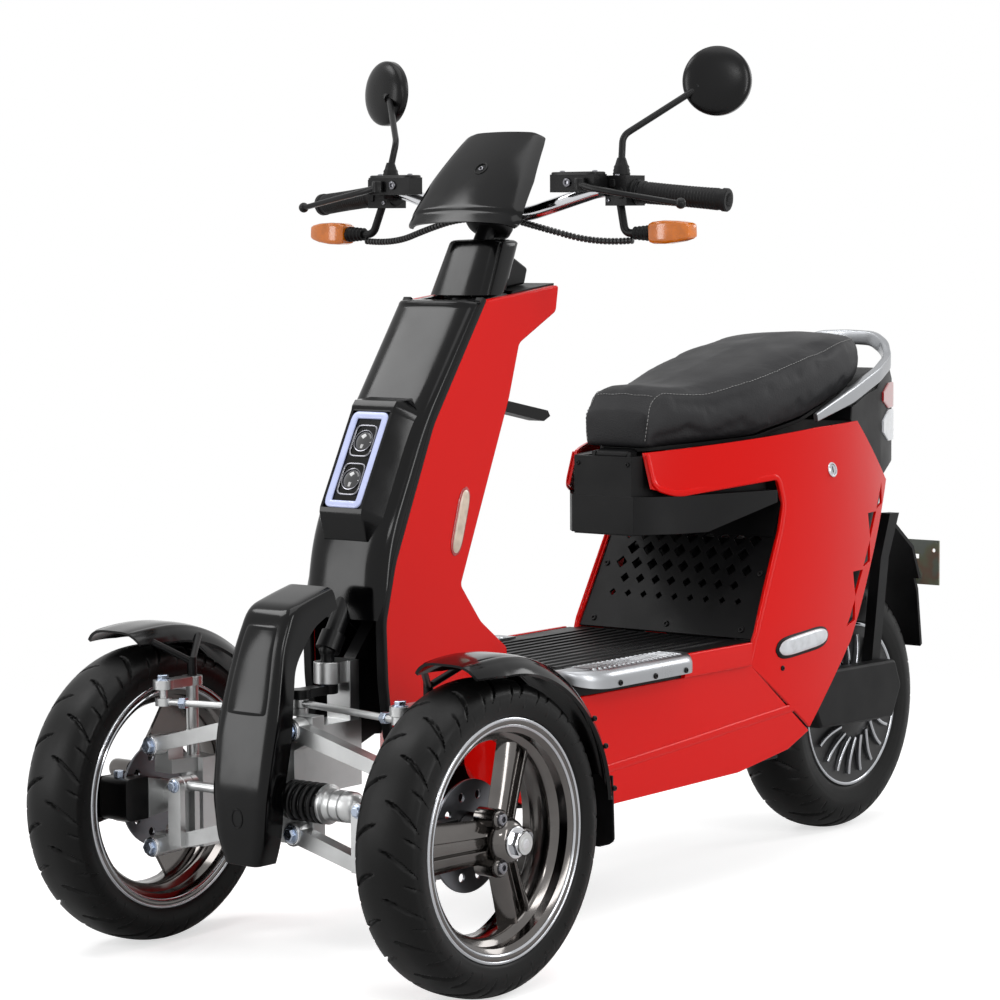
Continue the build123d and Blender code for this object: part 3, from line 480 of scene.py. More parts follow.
def turned(profile: Array, centre: Array, direction: Array, segments: int, ring: bool = False) -> Surface:
    """Turn a profile of (distance along, radius) about an axis.

    A point is centre + distance * axis + radius * (cos a * across + sin a * up), for a from 0 to a full turn.

    Args:
        profile: rows of (distance along the axis, radius).
        centre: point of the axis where the distance is 0.
        direction: direction of the axis.
        segments: steps of the full turn.
        ring: the profile is a closed loop, otherwise flat discs close its ends.

    Returns:
        The closed surface.
    """
    side, up, along = basis(direction)
    a = np.linspace(0, 2 * np.pi, segments, endpoint=False)[:, None]
    spread = np.cos(a) * side + np.sin(a) * up
    dist, rad = np.asarray(profile, float).T[:, :, None, None]
    return grid(np.asarray(centre) + dist * along + rad * spread, close_u=ring, close_v=True, caps=not ring)


def carried(path: Array, section: Array, up: Array = UP, closed: bool = False) -> Surface:
    """Carry a section along a path.

    The section's first coordinate is laid off across the path, level with up, and its second one on the side
    that faces up, at every station square to the path's direction.

    Args:
        path: points of the middle line, shape (stations, 3).
        section: closed loop of (across, up), one for all stations or one for each.
        up: direction that the section's top faces.
        closed: the path is a loop.

    Returns:
        The closed surface.
    """
    path = np.asarray(path, float)
    step = np.roll(path, -1, 0) - np.roll(path, 1, 0) if closed else np.gradient(path, axis=0)
    side = np.cross(up, step)
    side /= np.linalg.norm(side, axis=1, keepdims=True)
    top = np.cross(step, side)
    top /= np.linalg.norm(top, axis=1, keepdims=True)
    section = np.broadcast_to(section, (len(path), *np.shape(section)[-2:]))
    points = path[:, None] + section[..., :1] * side[:, None] + section[..., 1:] * top[:, None]
    return grid(points, close_u=closed, close_v=True, caps=not closed)


def oblong(half_w: Array, half_h: Array, power: float, count: int = 28) -> Array:
    """Loop of a superellipse: |x / half_w| ** power + |y / half_h| ** power = 1.

    Args:
        half_w: half width, one value or one for each station.
        half_h: half height, the same way.
        power: 2 is an ellipse, larger values come nearer to a rectangle.
        count: points of the loop.

    Returns:
        Points of shape (..., count, 2).
    """
    a = np.linspace(0, 2 * np.pi, count, endpoint=False)
    x, y = signed_power(np.cos(a), 2 / power), signed_power(np.sin(a), 2 / power)
    return np.stack([np.multiply.outer(half_w, x), np.multiply.outer(half_h, y)], -1)


def rod(radius: Array, count: int) -> Array:
    """Round section of the given radius, one value or one for each station, with count points."""
    return oblong(radius, radius, 2, count)


def former_bent(points: Array, bend: float, steps: int) -> Array:
    """Middle line of a bar bent round formers: each corner becomes a parabola that starts bend mm before it.

    Args:
        points: corners of the bar, its ends among them.
        bend: how far from a corner its curve starts.
        steps: points of each curve.

    Returns:
        Points of the middle line.
    """
    p = np.asarray(points, float)
    run = np.diff(p, axis=0)
    run /= np.linalg.norm(run, axis=1, keepdims=True)
    t = np.linspace(0, 1, steps)[None, :, None]
    into, corner, out = (q[:, None] for q in (p[1:-1] - bend * run[:-1], p[1:-1], p[1:-1] + bend * run[1:]))
    curves = (1 - t) ** 2 * into + 2 * t * (1 - t) * corner + t ** 2 * out
    return np.vstack([p[:1], curves.reshape(-1, 3), p[-1:]])


def around(surface: Surface, centre: Array, direction: Array, count: int) -> Surface:
    """Repeat a surface round an axis, count times in a full turn.

    Args:
        surface: the form at its first place.
        centre: point of the axis.
        direction: direction of the axis.
        count: number of copies.

    Returns:
        All copies as one surface.
    """
    turns = [Matrix.Rotation(2 * math.pi * k / count, 3, Vector(direction)) for k in range(count)]
    verts = np.einsum("kij,nj->kni", np.array(turns), surface.verts - centre) + centre
    return joined(Surface(copy, surface.faces) for copy in verts)


def profile_plate(outline: Array, y0: float, y1: float) -> Surface:
    """Side-view outline of (distance ahead of the front axle, height) points run across from y0 to y1."""
    return grid(np.stack([placed(outline, y) for y in (y0, y1)]), close_v=True, caps=True)


def hex_bolt(centre: Array, direction: Array, across: float, height: float) -> Surface:
    """Hexagon head with a turned-down crown on a round washer, standing on centre.

    Args:
        centre: middle of the seat under the washer.
        direction: direction that the head points.
        across: width over two corners.
        height: height of the head.

    Returns:
        Washer and head.
    """
    half = across / 2
    washer = turned([(-1, half * 1.3), (1.4, half * 1.3), (1.8, half * 1.2)], centre, direction, 28)
    return washer + turned([(1, half), (height - 1, half), (height, half * 0.82)], centre, direction, 6)


def socket_screw(centre: Array, direction: Array, radius: float) -> Surface:
    """Domed screw head with a driver recess in its middle, standing on centre."""
    rise = ((-2, 1), (0.15, 1), (0.45, 0.86), (0.55, 0.6), (0.5, 0.45), (0.1, 0.4))
    return turned([(a * radius if a > 0 else a, b * radius) for a, b in rise], centre, direction, 24)


@dataclass
class Tyre:
    """Road tyre with arched tread grooves, seated between the rim's flanges.

    Each row of grooves is: where it starts and ends between crown (0) and shoulder (1), its greatest width,
    its shift round the tyre and its bow, both as shares of the spacing.
    """

    node: str
    middle: tuple[float, float, float]
    flange_r: float
    seat_half: float
    half_w: float
    lugs: int
    radius: float = 218.0
    depth: float = 4.2
    grooves: tuple[tuple[float, float, float, float, float], ...] = (
        (0.06, 0.84, 7.0, 0.0, 0.85), (0.5, 1.0, 3.6, 0.46, 0.5), (0.82, 1.02, 3.0, 0.8, 0.2))

    def section(self, count: int = 76) -> tuple[Array, Array, Array]:
        """Section from bead to bead at even spacing.

        Above the widest place it is a superellipse of half width half_w whose top is the tread; below it a
        quarter ellipse draws in to the bead.

        Args:
            count: number of points.

        Returns:
            Offset from the middle plane, radius, and distance along the section from the crown.
        """
        wide = self.flange_r + 0.4 * (self.radius - self.flange_r)
        a, b = np.linspace(0, np.pi, 400), np.linspace(np.pi / 2, 0, 80)
        y = self.half_w * signed_power(np.cos(a), 0.82)
        rad = wide + (self.radius - wide) * np.sin(a) ** 0.82
        low_y = self.seat_half + (self.half_w - self.seat_half) * np.cos(b)
        low_r = wide - (wide - self.flange_r + 1) * np.sin(b)
        line = np.stack([np.concatenate([low_y[:-1], y, -low_y[-2::-1]]),
                         np.concatenate([low_r[:-1], rad, low_r[-2::-1]])], -1)
        way = distances(line)
        even = np.linspace(0, way[-1], count)
        return (*read_table(even, way, line).T, even - way[-1] / 2)

    def build(self) -> None:
        """Turn the section and sink the grooves.

        Each side has a family of arched grooves that start near the crown and bend back to the shoulder, as
        angle = start + bow * distance ** 1.7, widest at mid length and pointed at both ends; shorter sipes
        stand between them. A point in a groove moves towards the axle by the depth.
        """
        y, rad, way = self.section()
        turn = np.linspace(0, 2 * np.pi, 760, endpoint=False)[:, None]
        reach = np.abs(way) / 74
        drop = np.zeros((len(turn), len(way)))
        for first, last, widest, shift, bow in self.grooves:
            share = np.clip((reach - first) / (last - first), 0, 1)
            width = widest * np.sin(np.pi * share) ** 0.6
            phase = turn * self.lugs / (2 * np.pi) + shift + 0.5 * (way > 0) - bow * reach ** 1.7
            off = np.abs((phase + 0.5) % 1 - 0.5) * 2 * np.pi * rad / self.lugs
            drop = np.maximum(drop, np.clip((width / 2 - off) / 1.3 + 0.3, 0, 1) * (width > 0.3))
        rib = 0.8 * np.exp(-((np.abs(y) - self.half_w + 1.5) / 2.0) ** 2) * (rad < self.flange_r + 30)
        r = rad - self.depth * drop
        x0, y0, z0 = self.middle
        points = np.stack([x0 + r * np.sin(turn), np.broadcast_to(y0 + y - np.sign(y) * rib, r.shape),
                           z0 + r * np.cos(turn)], -1)
        tread = grid(points, close_u=True, close_v=True)
        add_piece(f"{self.node}_tread", tread, TYRE_RUBBER, self.node, True, 38)


@dataclass
class FrontWheel:
    """Cast three-spoke wheel: slotted spokes, barrel with a machined lip, hub, lug bolts and axle nut."""

    side: str
    hand: int
    flange_r: float = 167.4
    spoke_end: float = 147.0
    bolt_circle: float = 38.0

    def at(self, u: Array, v: Array, w: Array) -> Array:
        """Point u along the first spoke, v beside it and w outwards from the wheel's middle plane."""
        u, v, w = np.broadcast_arrays(u, v, w)
        return np.stack([FRONT_X + u, self.hand * (WHEEL_Y + w), AXLE_Z + v], -1).astype(float)

    def lathe(self, profile: Array, segments: int, ring: bool = False) -> Surface:
        """Turn a profile about the wheel's axle, from its middle plane outwards."""
        return turned(profile, self.at(0, 0, 0), self.hand * LEFT, segments, ring)

    def thrice(self, surface: Surface) -> Surface:
        """Three copies of a form round the axle."""
        return around(surface, self.at(0, 0, 0), self.hand * LEFT, 3)

    def bolt_at(self, w: float) -> Array:
        """Place of the first lug bolt, w outwards from the middle plane."""
        return self.at(self.bolt_circle * 0.5, self.bolt_circle * 0.866, w)

    def spokes(self) -> Surface:
        """Three broad cast spokes, each a domed bar with a slot along its middle.

        Along the spoke the face falls from the hub to the barrel; across it the face falls away with the
        2.4th power of the distance from the middle, and the slot sinks in between two steep smooth steps.
        The back is flat.

        Returns:
            The three spokes.
        """
        k = np.linspace(0, 1, 30)[:, None]
        wing = np.concatenate([np.linspace(0.34, 0.2, 15), np.linspace(0.15, 0.04, 4)])
        s = np.concatenate([np.linspace(-1, -0.36, 16), -wing, [0], wing[::-1], np.linspace(0.36, 1, 16)])
        u = 16 + (self.spoke_end - 16) * k
        half = 31 + 8 * k ** 2
        face = 44 - 24 * k ** 0.9
        w = face - 18 * np.abs(s) ** 2.4 - 10 / (1 + np.exp((np.abs(s) - 0.27) / 0.012))
        return self.thrice(walled(self.at(u, half * s, w), self.at(u, half * s * 0.93, face - 20 + 0 * s)))

    def barrel(self) -> Surface:
        """Drop-centre barrel turned from its rounded section."""
        half = [(0, 33), (17, 33), (21, 29), (26, 22), (39, 20.5), (43, 15), (46, 9), (46.6, 3), (45, 0),
                (42.4, 0), (41.8, 3), (41.8, 13), (26, 15), (18, 27), (0, 27)]
        loop = [(y, self.flange_r - d) for y, d in half]
        return self.lathe(loop + [(-y, r) for y, r in loop[-2:0:-1]], 144, ring=True)

    def lips(self) -> Surface:
        """Machined edge and bead line of both flanges: small rounded rings."""
        loop = [(44.2, -1.2), (46.2, 0.4), (47.6, -0.8), (47.8, -2.6), (47.2, -4.2), (46.0, -4.4), (45.2, -3)]
        bead = [(44.6, -13.6), (46.0, -12.4), (46.6, -10.8), (45.4, -9.6), (44, -11)]
        return joined(self.lathe(np.array(part) * (way, 1) + (0, self.flange_r), 144, ring=True)
                      for part in (loop, bead) for way in (1, -1))

    def hub(self) -> Surface:
        """Hub body with three lug bosses between the spokes."""
        boss = turned([(16, 14), (46, 14), (52, 13.2), (54, 11.4), (53.2, 9.6)], self.bolt_at(0),
                      self.hand * LEFT, 32)
        return self.lathe([(-16, 26), (-15, 33), (30, 34), (44, 34), (54, 30), (60, 25), (62, 21)],
                          72) + self.thrice(boss)

    def build(self) -> None:
        """Make the wheel's pieces and dress them."""
        node = f"{self.side}_front_rim"
        add_piece(f"{node}_spokes", self.spokes() + self.hub(), BLACK_CHROME, node, True, 40)
        add_piece(f"{node}_barrel", self.barrel(), BLACK_CHROME, node, sharp=46)
        add_piece(f"{node}_lips", self.lips(), POLISHED_LIP, node, sharp=60)
        bolts = self.thrice(socket_screw(self.bolt_at(52.6), self.hand * LEFT, 9.2))
        add_piece(f"{node}_lug_bolts", bolts, CHROME_DARK, node)
        nut = joined((self.lathe([(61.6, 22), (64.6, 22), (65.6, 20.5)], 40),
                      self.lathe([(65, 18), (75, 18), (77.4, 15.6)], 6),
                      self.lathe([(76, 14), (77.8, 13.4), (79.4, 10.5), (80.2, 5.5), (80.4, 0.6)], 40)))
        add_piece(f"{self.side}_axle_nut", nut, CHROME, f"{self.side}_knuckle", bevel=0.8)


@dataclass
class HubMotor:
    """Rear hub motor: turned shell with a ring of bright-edged cooling blades on each face."""

    node: str = "rear_hub_motor"
    blades: int = 20

    def build(self) -> None:
        """Turn the shell, set the blades round it and screw the covers on."""
        node, centre = self.node, REAR + AXLE_Z * UP
        half = [(64, 10), (64, 36), (62, 42), (55, 62), (51, 70), (50, 128), (51.5, 134), (52, 140),
                (50, 142), (46.4, 141), (46, 127), (30, 125), (0, 124)]
        loop = half + [(-y, r) for y, r in half[-2::-1]]
        add_piece(f"{node}_shell", turned(loop, centre, LEFT, 120, ring=True), CAST_BLACK, node, True, 30)
        k = np.linspace(0, 1, 12)
        edges, screws = [], []
        for hand in (1, -1):
            path = centre + np.stack([58 + 62 * k, hand * (58.4 - 5.4 * k), 13 * np.sin(np.pi * k * 0.6)], -1)
            blade = carried(path, oblong(3.2, 4.2, 3.5, 14), up=hand * LEFT)
            edges.append(around(blade, centre, LEFT, self.blades))
            screw = socket_screw(centre + (0, hand * 60.2, 31), hand * LEFT, 4.5)
            screws.append(around(screw, centre, LEFT, 6))
        add_piece(f"{node}_blades", joined(edges), POLISHED_LIP, node, sharp=40)
        add_piece(f"{node}_screws", joined(screws), ZINC, node)
        ring = np.array([(51.6, 139.5), (53.2, 141.2), (54, 139.8), (53.6, 136.6), (52.2, 135.8)])
        lips = joined(turned(ring * (way, 1), centre, LEFT, 120, ring=True) for way in (1, -1))
        add_piece(f"{node}_lips", lips, POLISHED_LIP, node, sharp=60)


@dataclass
class Fender:
    """Arched fender on three stays from the track arm, with a mud flap behind."""

    side: str
    hand: int
    radius: float = 248.0
    half: float = 60.0
    wall: float = 3.6
    skirt: float = 24.0
    king_y: float = 222.0

    def at(self, r: Array, a: Array, y: Array) -> Array:
        """Point at radius r and angle a ahead of the top, round the wheel's axle, y from the middle plane."""
        x, y, z = np.broadcast_arrays(FRONT_X + r * np.sin(a), self.hand * y, AXLE_Z + r * np.cos(a))
        return np.stack([x, y, z], -1)

    def shell(self) -> Surface:
        """Arched shell from ahead of the top to just above the axle behind.

        Across it the radius falls by skirt * |y / half| ** 4; ahead of the top the front edge lifts with the
        square of the angle and narrows to a rounded beak; two shallow ribs run along the shoulders.

        Returns:
            Shell with its wall thickness.
        """
        a = np.radians(np.linspace(17, -83.5, 110))[:, None]
        s = np.linspace(-1, 1, 45)
        ahead = np.clip(np.degrees(a) - 2, 0, None) / 15
        behind = np.clip(-60 - np.degrees(a), 0, None) / 24
        half = self.half * (1 - 0.10 * ahead ** 2 - 0.04 * behind)
        rise = 5 * ahead ** 2 - self.skirt * np.abs(s) ** 4 * (1 - 0.25 * ahead)
        rise = rise + 1.6 * np.exp(-((np.abs(s) - 0.66) / 0.05) ** 2) * (ahead < 0.99)
        return walled(self.at(self.radius + self.wall + rise, a, WHEEL_Y + half * s),
                      self.at(self.radius + rise, a, WHEEL_Y + (half - self.wall) * s))

    def flap(self) -> Surface:
        """Mud flap: a sheet that hangs from the shell's end, with rounded lower corners and a slight bow."""
        k = np.linspace(0, 1, 24)
        width = 47 * np.where(k > 0.86, np.sqrt(np.clip(1 - ((k - 0.86) / 0.16) ** 2, 0.05, 1)), 1)
        path = np.stack([FRONT_X - 243 - 4 * k, np.full(24, self.hand * WHEEL_Y), AXLE_Z + 56 - 104 * k], -1)
        return carried(path, oblong(width, np.full(24, 2.6), 5), up=-AHEAD)

    def stays(self) -> Surface:
        """Post on the track arm and two struts up to the shell's inner shoulder."""
        foot = FRONT + self.hand * self.king_y * LEFT
        top = AXLE_Z + self.radius - 42
        parts = [carried(foot + np.outer((397.6, 410, top), UP), rod(7, 18), up=AHEAD)]
        for lean in (-12, 12):
            tip = self.at(self.radius - 12, math.radians(lean), WHEEL_Y - self.half + 4)
            parts.append(carried(np.linspace(foot + (top - 7) * UP, tip, 3), rod(5, 16), up=(1, 0, 0.1)))
        return joined(parts)

    def build(self) -> None:
        """Make the shell, flap, stays and screws."""
        node = f"{self.side}_fender"
        add_piece(f"{node}_shell", self.shell(), ABS_GLOSS, node, True, 50)
        add_piece(f"{node}_flap", self.flap(), PP_GRAINED, node, sharp=50)
        add_piece(f"{node}_stays", self.stays(), POWDER_COAT, node)
        places = self.at(self.radius - 12, np.radians((-52, -64, -80)), WHEEL_Y + self.half * 0.965)
        screws = joined(socket_screw(place, self.hand * LEFT, 4) for place in places)
        add_piece(f"{node}_screws", screws, POWDER_COAT, node)


@dataclass
class NoseCover:
    """Moulded cover over the front tower: a U-shaped shell with a raised upper panel and a cable hole.

    Each station is: front line ahead of the axle, its height, back edge ahead of the axle, its height, and
    half width.
    """

    node: str = "nose_cover"
    wall: float = 4.0
    stations: tuple[tuple[float, float, float, float, float], ...] = (
        (142, 166, 104, 166, 32), (147, 200, 106, 200, 45), (148, 262, 108, 262, 52.5),
        (133, 355, 96, 340, 57), (116, 420, 86, 395, 52), (102, 470, 76, 440, 47), (79, 519, 36, 488, 45.6),
        (30, 533, 8, 502, 45.3), (-7, 542, -16, 512, 45))

    def rows(self, count: int = 60) -> Array:
        """Stations at even spacing along the front line, eased so that corners turn softly."""
        table = np.array(self.stations, float)
        way = distances(table[:, :2])
        even = read_table(np.linspace(0, way[-1], count), way, table)
        soft = eased(even, 2)
        soft[0], soft[-1] = even[0], even[-1]
        return soft

    def shell(self) -> Surface:
        """U-shaped section carried up the stations.

        Across the front the section is a superellipse of half width half and depth from the back edge to the
        front line, so its two front corners are rounded.

        Returns:
            The open shell with its wall.
        """
        front, front_z, back, back_z, half = (column[:, None] for column in self.rows().T)
        a = np.linspace(0, np.pi, 49)
        across, ahead = signed_power(np.cos(a), 0.26), np.abs(np.sin(a)) ** 0.3
        return walled(*(np.stack([FRONT_X + back + (front - wall - back) * ahead, (half - wall) * across,
                                  back_z + (front_z - back_z - 0.4 * wall) * ahead], -1)
                        for wall in (0.0, self.wall)))

    def panel(self) -> Surface:
        """Raised upper panel: a pillow on the front face that rises 3 mm within 5 mm of its outline."""
        rows = self.rows()
        u, s = np.linspace(0, 1, 40)[:, None], np.linspace(-1, 1, 33)
        z = 372 + 126 * u
        front = np.interp(z, rows[:, 1], rows[:, 0])
        half = np.interp(z, rows[:, 1], rows[:, 4]) - 13 - 3 * np.abs(2 * u - 1) ** 8
        edge = np.minimum((1 - np.abs(s)) * half, np.minimum(u, 1 - u) * 126)
        lift = 3.4 * np.clip(edge / 5, 0, 1) ** 0.5 - 3.0 + 1.2 * (1 - s ** 2)
        lift = lift - (0.6 + 2.2 * np.abs(s) ** 6)
        points = np.stack([FRONT_X + front + 0.95 * lift + 1.0, half * s, z + 0.3 * lift], -1)
        border = [np.concatenate([p[0], p[1:-1, -1], p[-1, ::-1], p[-2:0:-1, 0]])
                  for p in (points, points - (4, 0, 1))]
        return grid(points) + grid(np.stack(border), close_v=True)

    def build(self) -> None:
        """Make the shell, the panel, the cable hole and the mount."""
        add_piece("nose_cover_shell", self.shell(), ABS_GLOSS, self.node, True, 48)
        add_piece("nose_cover_panel", self.panel(), ABS_GLOSS, self.node, sharp=60)
        centre = FRONT + (147.5, 0, 232)
        k = np.linspace(0, 2 * np.pi, 40, endpoint=False)[:, None]
        oval = centre + np.hstack([0 * k, 9.5 * np.cos(k), 13 * np.sin(k)])
        add_piece("nose_hole_rim", carried(oval, rod(1.4, 10), up=AHEAD, closed=True), ABS_GLOSS, self.node)
        # Rubber bung that fills the cable hole, kept matte dark: it also paints the shade inside the hole
        hole_shade_bung = carried(centre + np.outer((-4, -1, 0.2), AHEAD), oblong(9.4, 12.8, 2, 40))
        add_piece("nose_hole_shade_bung", hole_shade_bung, RUBBER, self.node)
        mount = profile_plate([(104.4, 294), (138, 294), (138, 314), (104.4, 314)], -12, 12)
        add_piece("nose_mount", mount, POWDER_COAT, self.node, bevel=1.5)


@dataclass
class ColumnCover:
    """Glossy cover over the steering column, with the headlamp let into it and the neck above."""

    half: float = 61.3
    flare: float = 75.4
    wall: float = 5.0
    lamp_mid: tuple[float, float, float] = (FRONT_X - 112.0, 0.0, 714.0)
    lamp_up: tuple[float, float, float] = (-0.463, 0.0, 0.886)
    lamp_out: tuple[float, float, float] = (0.886, 0.0, 0.463)

    def shell(self) -> Surface:
        """Shell with a rounded front that flares out ahead of the leg panels' edges.

        At each station the front is a superellipse as wide as the leg panels, from the panels' front edge to
        the front line; behind it the wall steps in and runs back between the panels. The last stations draw
        in to round the top edge over.

        Returns:
            The shell with its wall, open at the back.
        """
        lines = ([(-73, 478), (-73, 515), (-85, 602), (-166, 765), (-290, 938)],
                 [(-98, 478), (-98, 515), (-118, 602), (-193, 762), (-316, 940)],
                 [(-150, 478), (-176, 520), (-216, 610), (-300, 800), (-398, 948)])
        marks = (0, 0.07, 0.25, 0.6, 1)
        k = np.linspace(0, 1, 56)
        front, edge, back = (eased(read_table(k, marks, line), 4)[:, None] for line in lines)
        a = np.linspace(0, np.pi, 49)
        layers = []
        for wall in (0.0, self.wall):
            nose = edge + (front - edge) * np.abs(np.sin(a))[:, None] ** 0.62 * (1 - wall / 34)
            nose = placed(nose, (self.flare - wall) * signed_power(np.cos(a), 0.5))
            left = [placed(line, self.half - wall) for line in (back, edge)]
            body = np.concatenate([*left, nose, *(line * FLIP for line in left[::-1])], axis=1)
            mid = body[-1].mean(axis=0)
            top, lift = (np.array(q)[:, None, None] for q in ((0.985, 0.94, 0.8, 0.6), (3.2, 6, 7.4, 7.6)))
            dome = mid + (body[-1] - mid) * top + lift * (-0.1, 0, 0.99)
            layers.append(np.concatenate([body, dome - (0, 0, wall)]))
        return walled(*layers)

    def lamp_at(self, y: Array, v: Array, n: Array) -> Array:
        """Point of the lamp's face: y to the left, v up the face and n out of it."""
        return plane_points(self.lamp_mid, self.lamp_up, self.lamp_out, y, v, n)

    def housing(self) -> Surface:
        """Lamp housing: a block that widens from its face back to the cover, with a pocket in the face.

        Its front line runs from the top over the face to the chin. At each station the section goes from the
        base, 34 mm behind, to the face's edge, and sinks by 5.2 mm between the pocket's walls.

        Returns:
            The closed block.
        """
        line = np.array([(-193, 799), (-156, 796), (-149, 788), (-147.2, 781.4), (-146.4, 779.9),
                         (-77.6, 648.1), (-76.8, 646.6), (-75.4, 640), (-77, 631), (-86, 600)])
        pocket = np.array((0, 0, 0, 0, 1, 1, 0, 0, 0, 0))[:, None]
        base = np.array((56, 58, 60, 60, 60, 58, 57, 56, 54, 46))[:, None]
        y = np.hstack([base, np.tile((41.0, 39.0, 34.6, 34.2), (10, 1))])
        depth = np.hstack([np.tile((34.0, 2.5, 0.0, 0.0), (10, 1)), 5.2 * pocket])
        y, depth = np.hstack([y, -y[:, ::-1]]), np.hstack([depth, depth[:, ::-1]])
        points = placed(line, 0.0)[:, None] + y[..., None] * LEFT - depth[..., None] * np.array(self.lamp_out)
        return grid(points, close_v=True, caps=True)

    def neck(self) -> Surface:
        """Neck sleeve: superelliptic stations that lean back, drawn in over the top to the stem's round bore.

        Returns:
            The sleeve, closed round its bore.
        """
        k = np.concatenate([np.linspace(0, 1, 14), [1, 1, 1]])[:, None]
        draw = np.concatenate([np.ones(14), [0.96, 0.88, 0.72]])[:, None]
        lift = np.concatenate([np.zeros(14), [2.6, 4.6, 5.4]])[:, None]
        a = np.linspace(0, 2 * np.pi, 72, endpoint=False)
        y = (57 - 6 * k) * draw * signed_power(np.cos(a), 0.6)
        d = -369 - 39 * k + 35 * draw * signed_power(np.sin(a), 0.6)
        sleeve = np.stack([FRONT_X + d, y, 944 + 76 * k + lift + 0 * a], -1)
        high = np.array((1026.0, 946.0))[:, None]
        bore = np.stack(np.broadcast_arrays(self.axis_x(high) + 22 * np.sin(a), 22 * np.cos(a), high), -1)
        return grid(np.concatenate([sleeve, bore]), close_u=True, close_v=True)

    def axis_x(self, z: Array) -> Array:
        """Place of the steering axis at height z, from the record's joint."""
        joint = next(j for j in frame["record"]["behaviour"]["joints"] if j["name"] == "steering_turn")
        place, way = (np.array(joint[key], float) for key in ("pos_m", "axis"))
        return (place[0] + (z * MM - place[2]) * way[0] / way[2]) / MM

    def lamp(self) -> None:
        """Light guide round a dark bezel with two projector lenses."""
        node, out = "headlamp_lenses", np.array(self.lamp_out)
        loop, ring = oblong(28.6, 69.6, 16, 120), oblong(19.4, 24.0, 5, 56)
        guide = carried(self.lamp_at(*loop.T, -1.2), oblong(5.2, 2.2, 4, 16), up=out, closed=True)
        add_piece("headlamp_light_guide", guide, LIGHT_GUIDE, node, True, 50)
        bezel = carried(self.lamp_at(0, 0, (-5.0, -4.0, -3.4)), oblong(24.8, 66.0, 10, 72), up=self.lamp_up)
        add_piece("headlamp_bezel", bezel, ABS_GLOSS, node)
        rims, eyes = [], []
        for v in (-30.0, 30.0):
            centre, frame_line = self.lamp_at(0, v, 0), self.lamp_at(ring[:, 0], v + ring[:, 1], -2.6)
            rims.append(carried(frame_line, oblong(1.6, 1.8, 2, 12), up=out, closed=True))
            rims.append(turned([(-3.6, 17.4), (-1.6, 16.8), (-1.8, 15.6), (-3.4, 15.2)], centre, out, 48,
                               ring=True))
            eyes.append(turned([(-4.6, 15.4), (-2.4, 14.6), (-0.8, 11.4), (0.3, 7.2), (0.7, 2.4)], centre,
                               out, 48))
        add_piece("headlamp_rims", joined(rims), CHROME_DARK, node, sharp=50)
        add_piece("headlamp_projectors", joined(eyes), GLASS, node, sharp=50)

    def build(self) -> None:
        """Make the cover, the lamp with its housing, the neck and the switch box on it."""
        add_piece("column_cover_shell", self.shell(), ABS_GLOSS, "column_cover", True, 50)
        self.lamp()
        add_piece("headlamp_housing_shell", self.housing(), ABS_GLOSS, "headlamp_housing", True, 30, 2.4)
        add_piece("column_neck_sleeve", self.neck(), ABS_GLOSS, "column_neck", True, 50)
        switch = profile_plate([(-398, 950), (-418, 1010), (-442, 1004), (-486, 982), (-478, 957.6)], -24, 24)
        add_piece("ignition_switch_box", switch, PP_GRAINED, "column_neck", sharp=30, bevel=4)


@dataclass
class DashCowl:
    """Curved cowl in front of the dash, with a lower lip, a middle screw and the display behind it."""

    node: str = "dash_cowl"
    wall: float = 4.0
    origin: tuple[float, float, float] = (FRONT_X - 400.0, 0.0, 1115.0)
    out: tuple[float, float, float] = (0.757, 0.0, 0.653)
    up: tuple[float, float, float] = (-0.653, 0.0, 0.757)

    def at(self, y: Array, v: Array, n: Array) -> Array:
        """Point of the cowl's plane: y to the left, v up the slope and n forward out of it."""
        return plane_points(self.origin, self.up, self.out, y, v, n)

    def skin(self) -> Surface:
        """Bowed skin whose side edges turn back.

        Its half width is read from a short table along the slope. It falls back with the square of the
        distance from the middle, as a cylinder of 600 mm radius does, then turns away at the edge with the
        14th power; along the slope it has a crown of 5 mm, and a step marks the lip along its foot.

        Returns:
            Skin with its wall.
        """
        v = -84 + 176 * np.linspace(0, 1, 60)[:, None]
        half = np.interp(v, (-84, -80, -74, 0, 74, 86, 89.5, 92), (99, 104, 106, 98, 80, 76, 72, 64))
        s = np.linspace(-1, 1, 61)
        fall = (half * s) ** 2 / 1200 + 7 * np.abs(s) ** 14 + 5 * (v / 91) ** 2 - 8
        step = 2.2 / (1 + np.exp((v + 62) / 1.2))
        return walled(*(self.at(half * s * (1 - wall / 120), v * (1 - wall / 200), -fall - step - wall)
                        for wall in (0.0, self.wall)))

    def build(self) -> None:
        """Make the skin, the dash box, its display, the stem's boot and the middle screw."""
        add_piece("dash_cowl_skin", self.skin(), ABS_GLOSS, self.node, True, 50)
        box = carried(self.at(0, 14, (-4, -8, -20, -25, -26)),
                      oblong((50, 52, 52, 51, 48), (40, 42, 42, 41, 38), 6), up=self.up)
        add_piece("dash_box", box, PP_GRAINED, self.node, sharp=40)
        screen = carried(self.at(0, 14, (-25, -26.6, -27)), oblong((44, 44, 43), (32, 32, 31), 7), up=self.up)
        add_piece("dash_screen", screen, GLASS, self.node, sharp=40)
        boot = turned([(-26, 19.5), (-26, 31), (-22, 35), (-12, 36.5), (-4, 34), (-1, 29)],
                      FRONT + (-430, 0, 1062), (-math.sin(RAKE), 0, math.cos(RAKE)), 56)
        add_piece("stem_boot", boot, RUBBER, "steering_stem", sharp=50)
        grommet = turned([(-3, 11.4), (0.8, 11.4), (1.6, 10.4), (1.4, 9.2), (-0.6, 8.6)], self.at(0, 14, 7.8),
                         self.out, 40)
        add_piece("dash_cowl_grommet", grommet, RUBBER, self.node)
        add_piece("dash_cowl_screw", socket_screw(self.at(0, 14, 7.0), self.out, 4.6), CHROME_DARK, self.node)


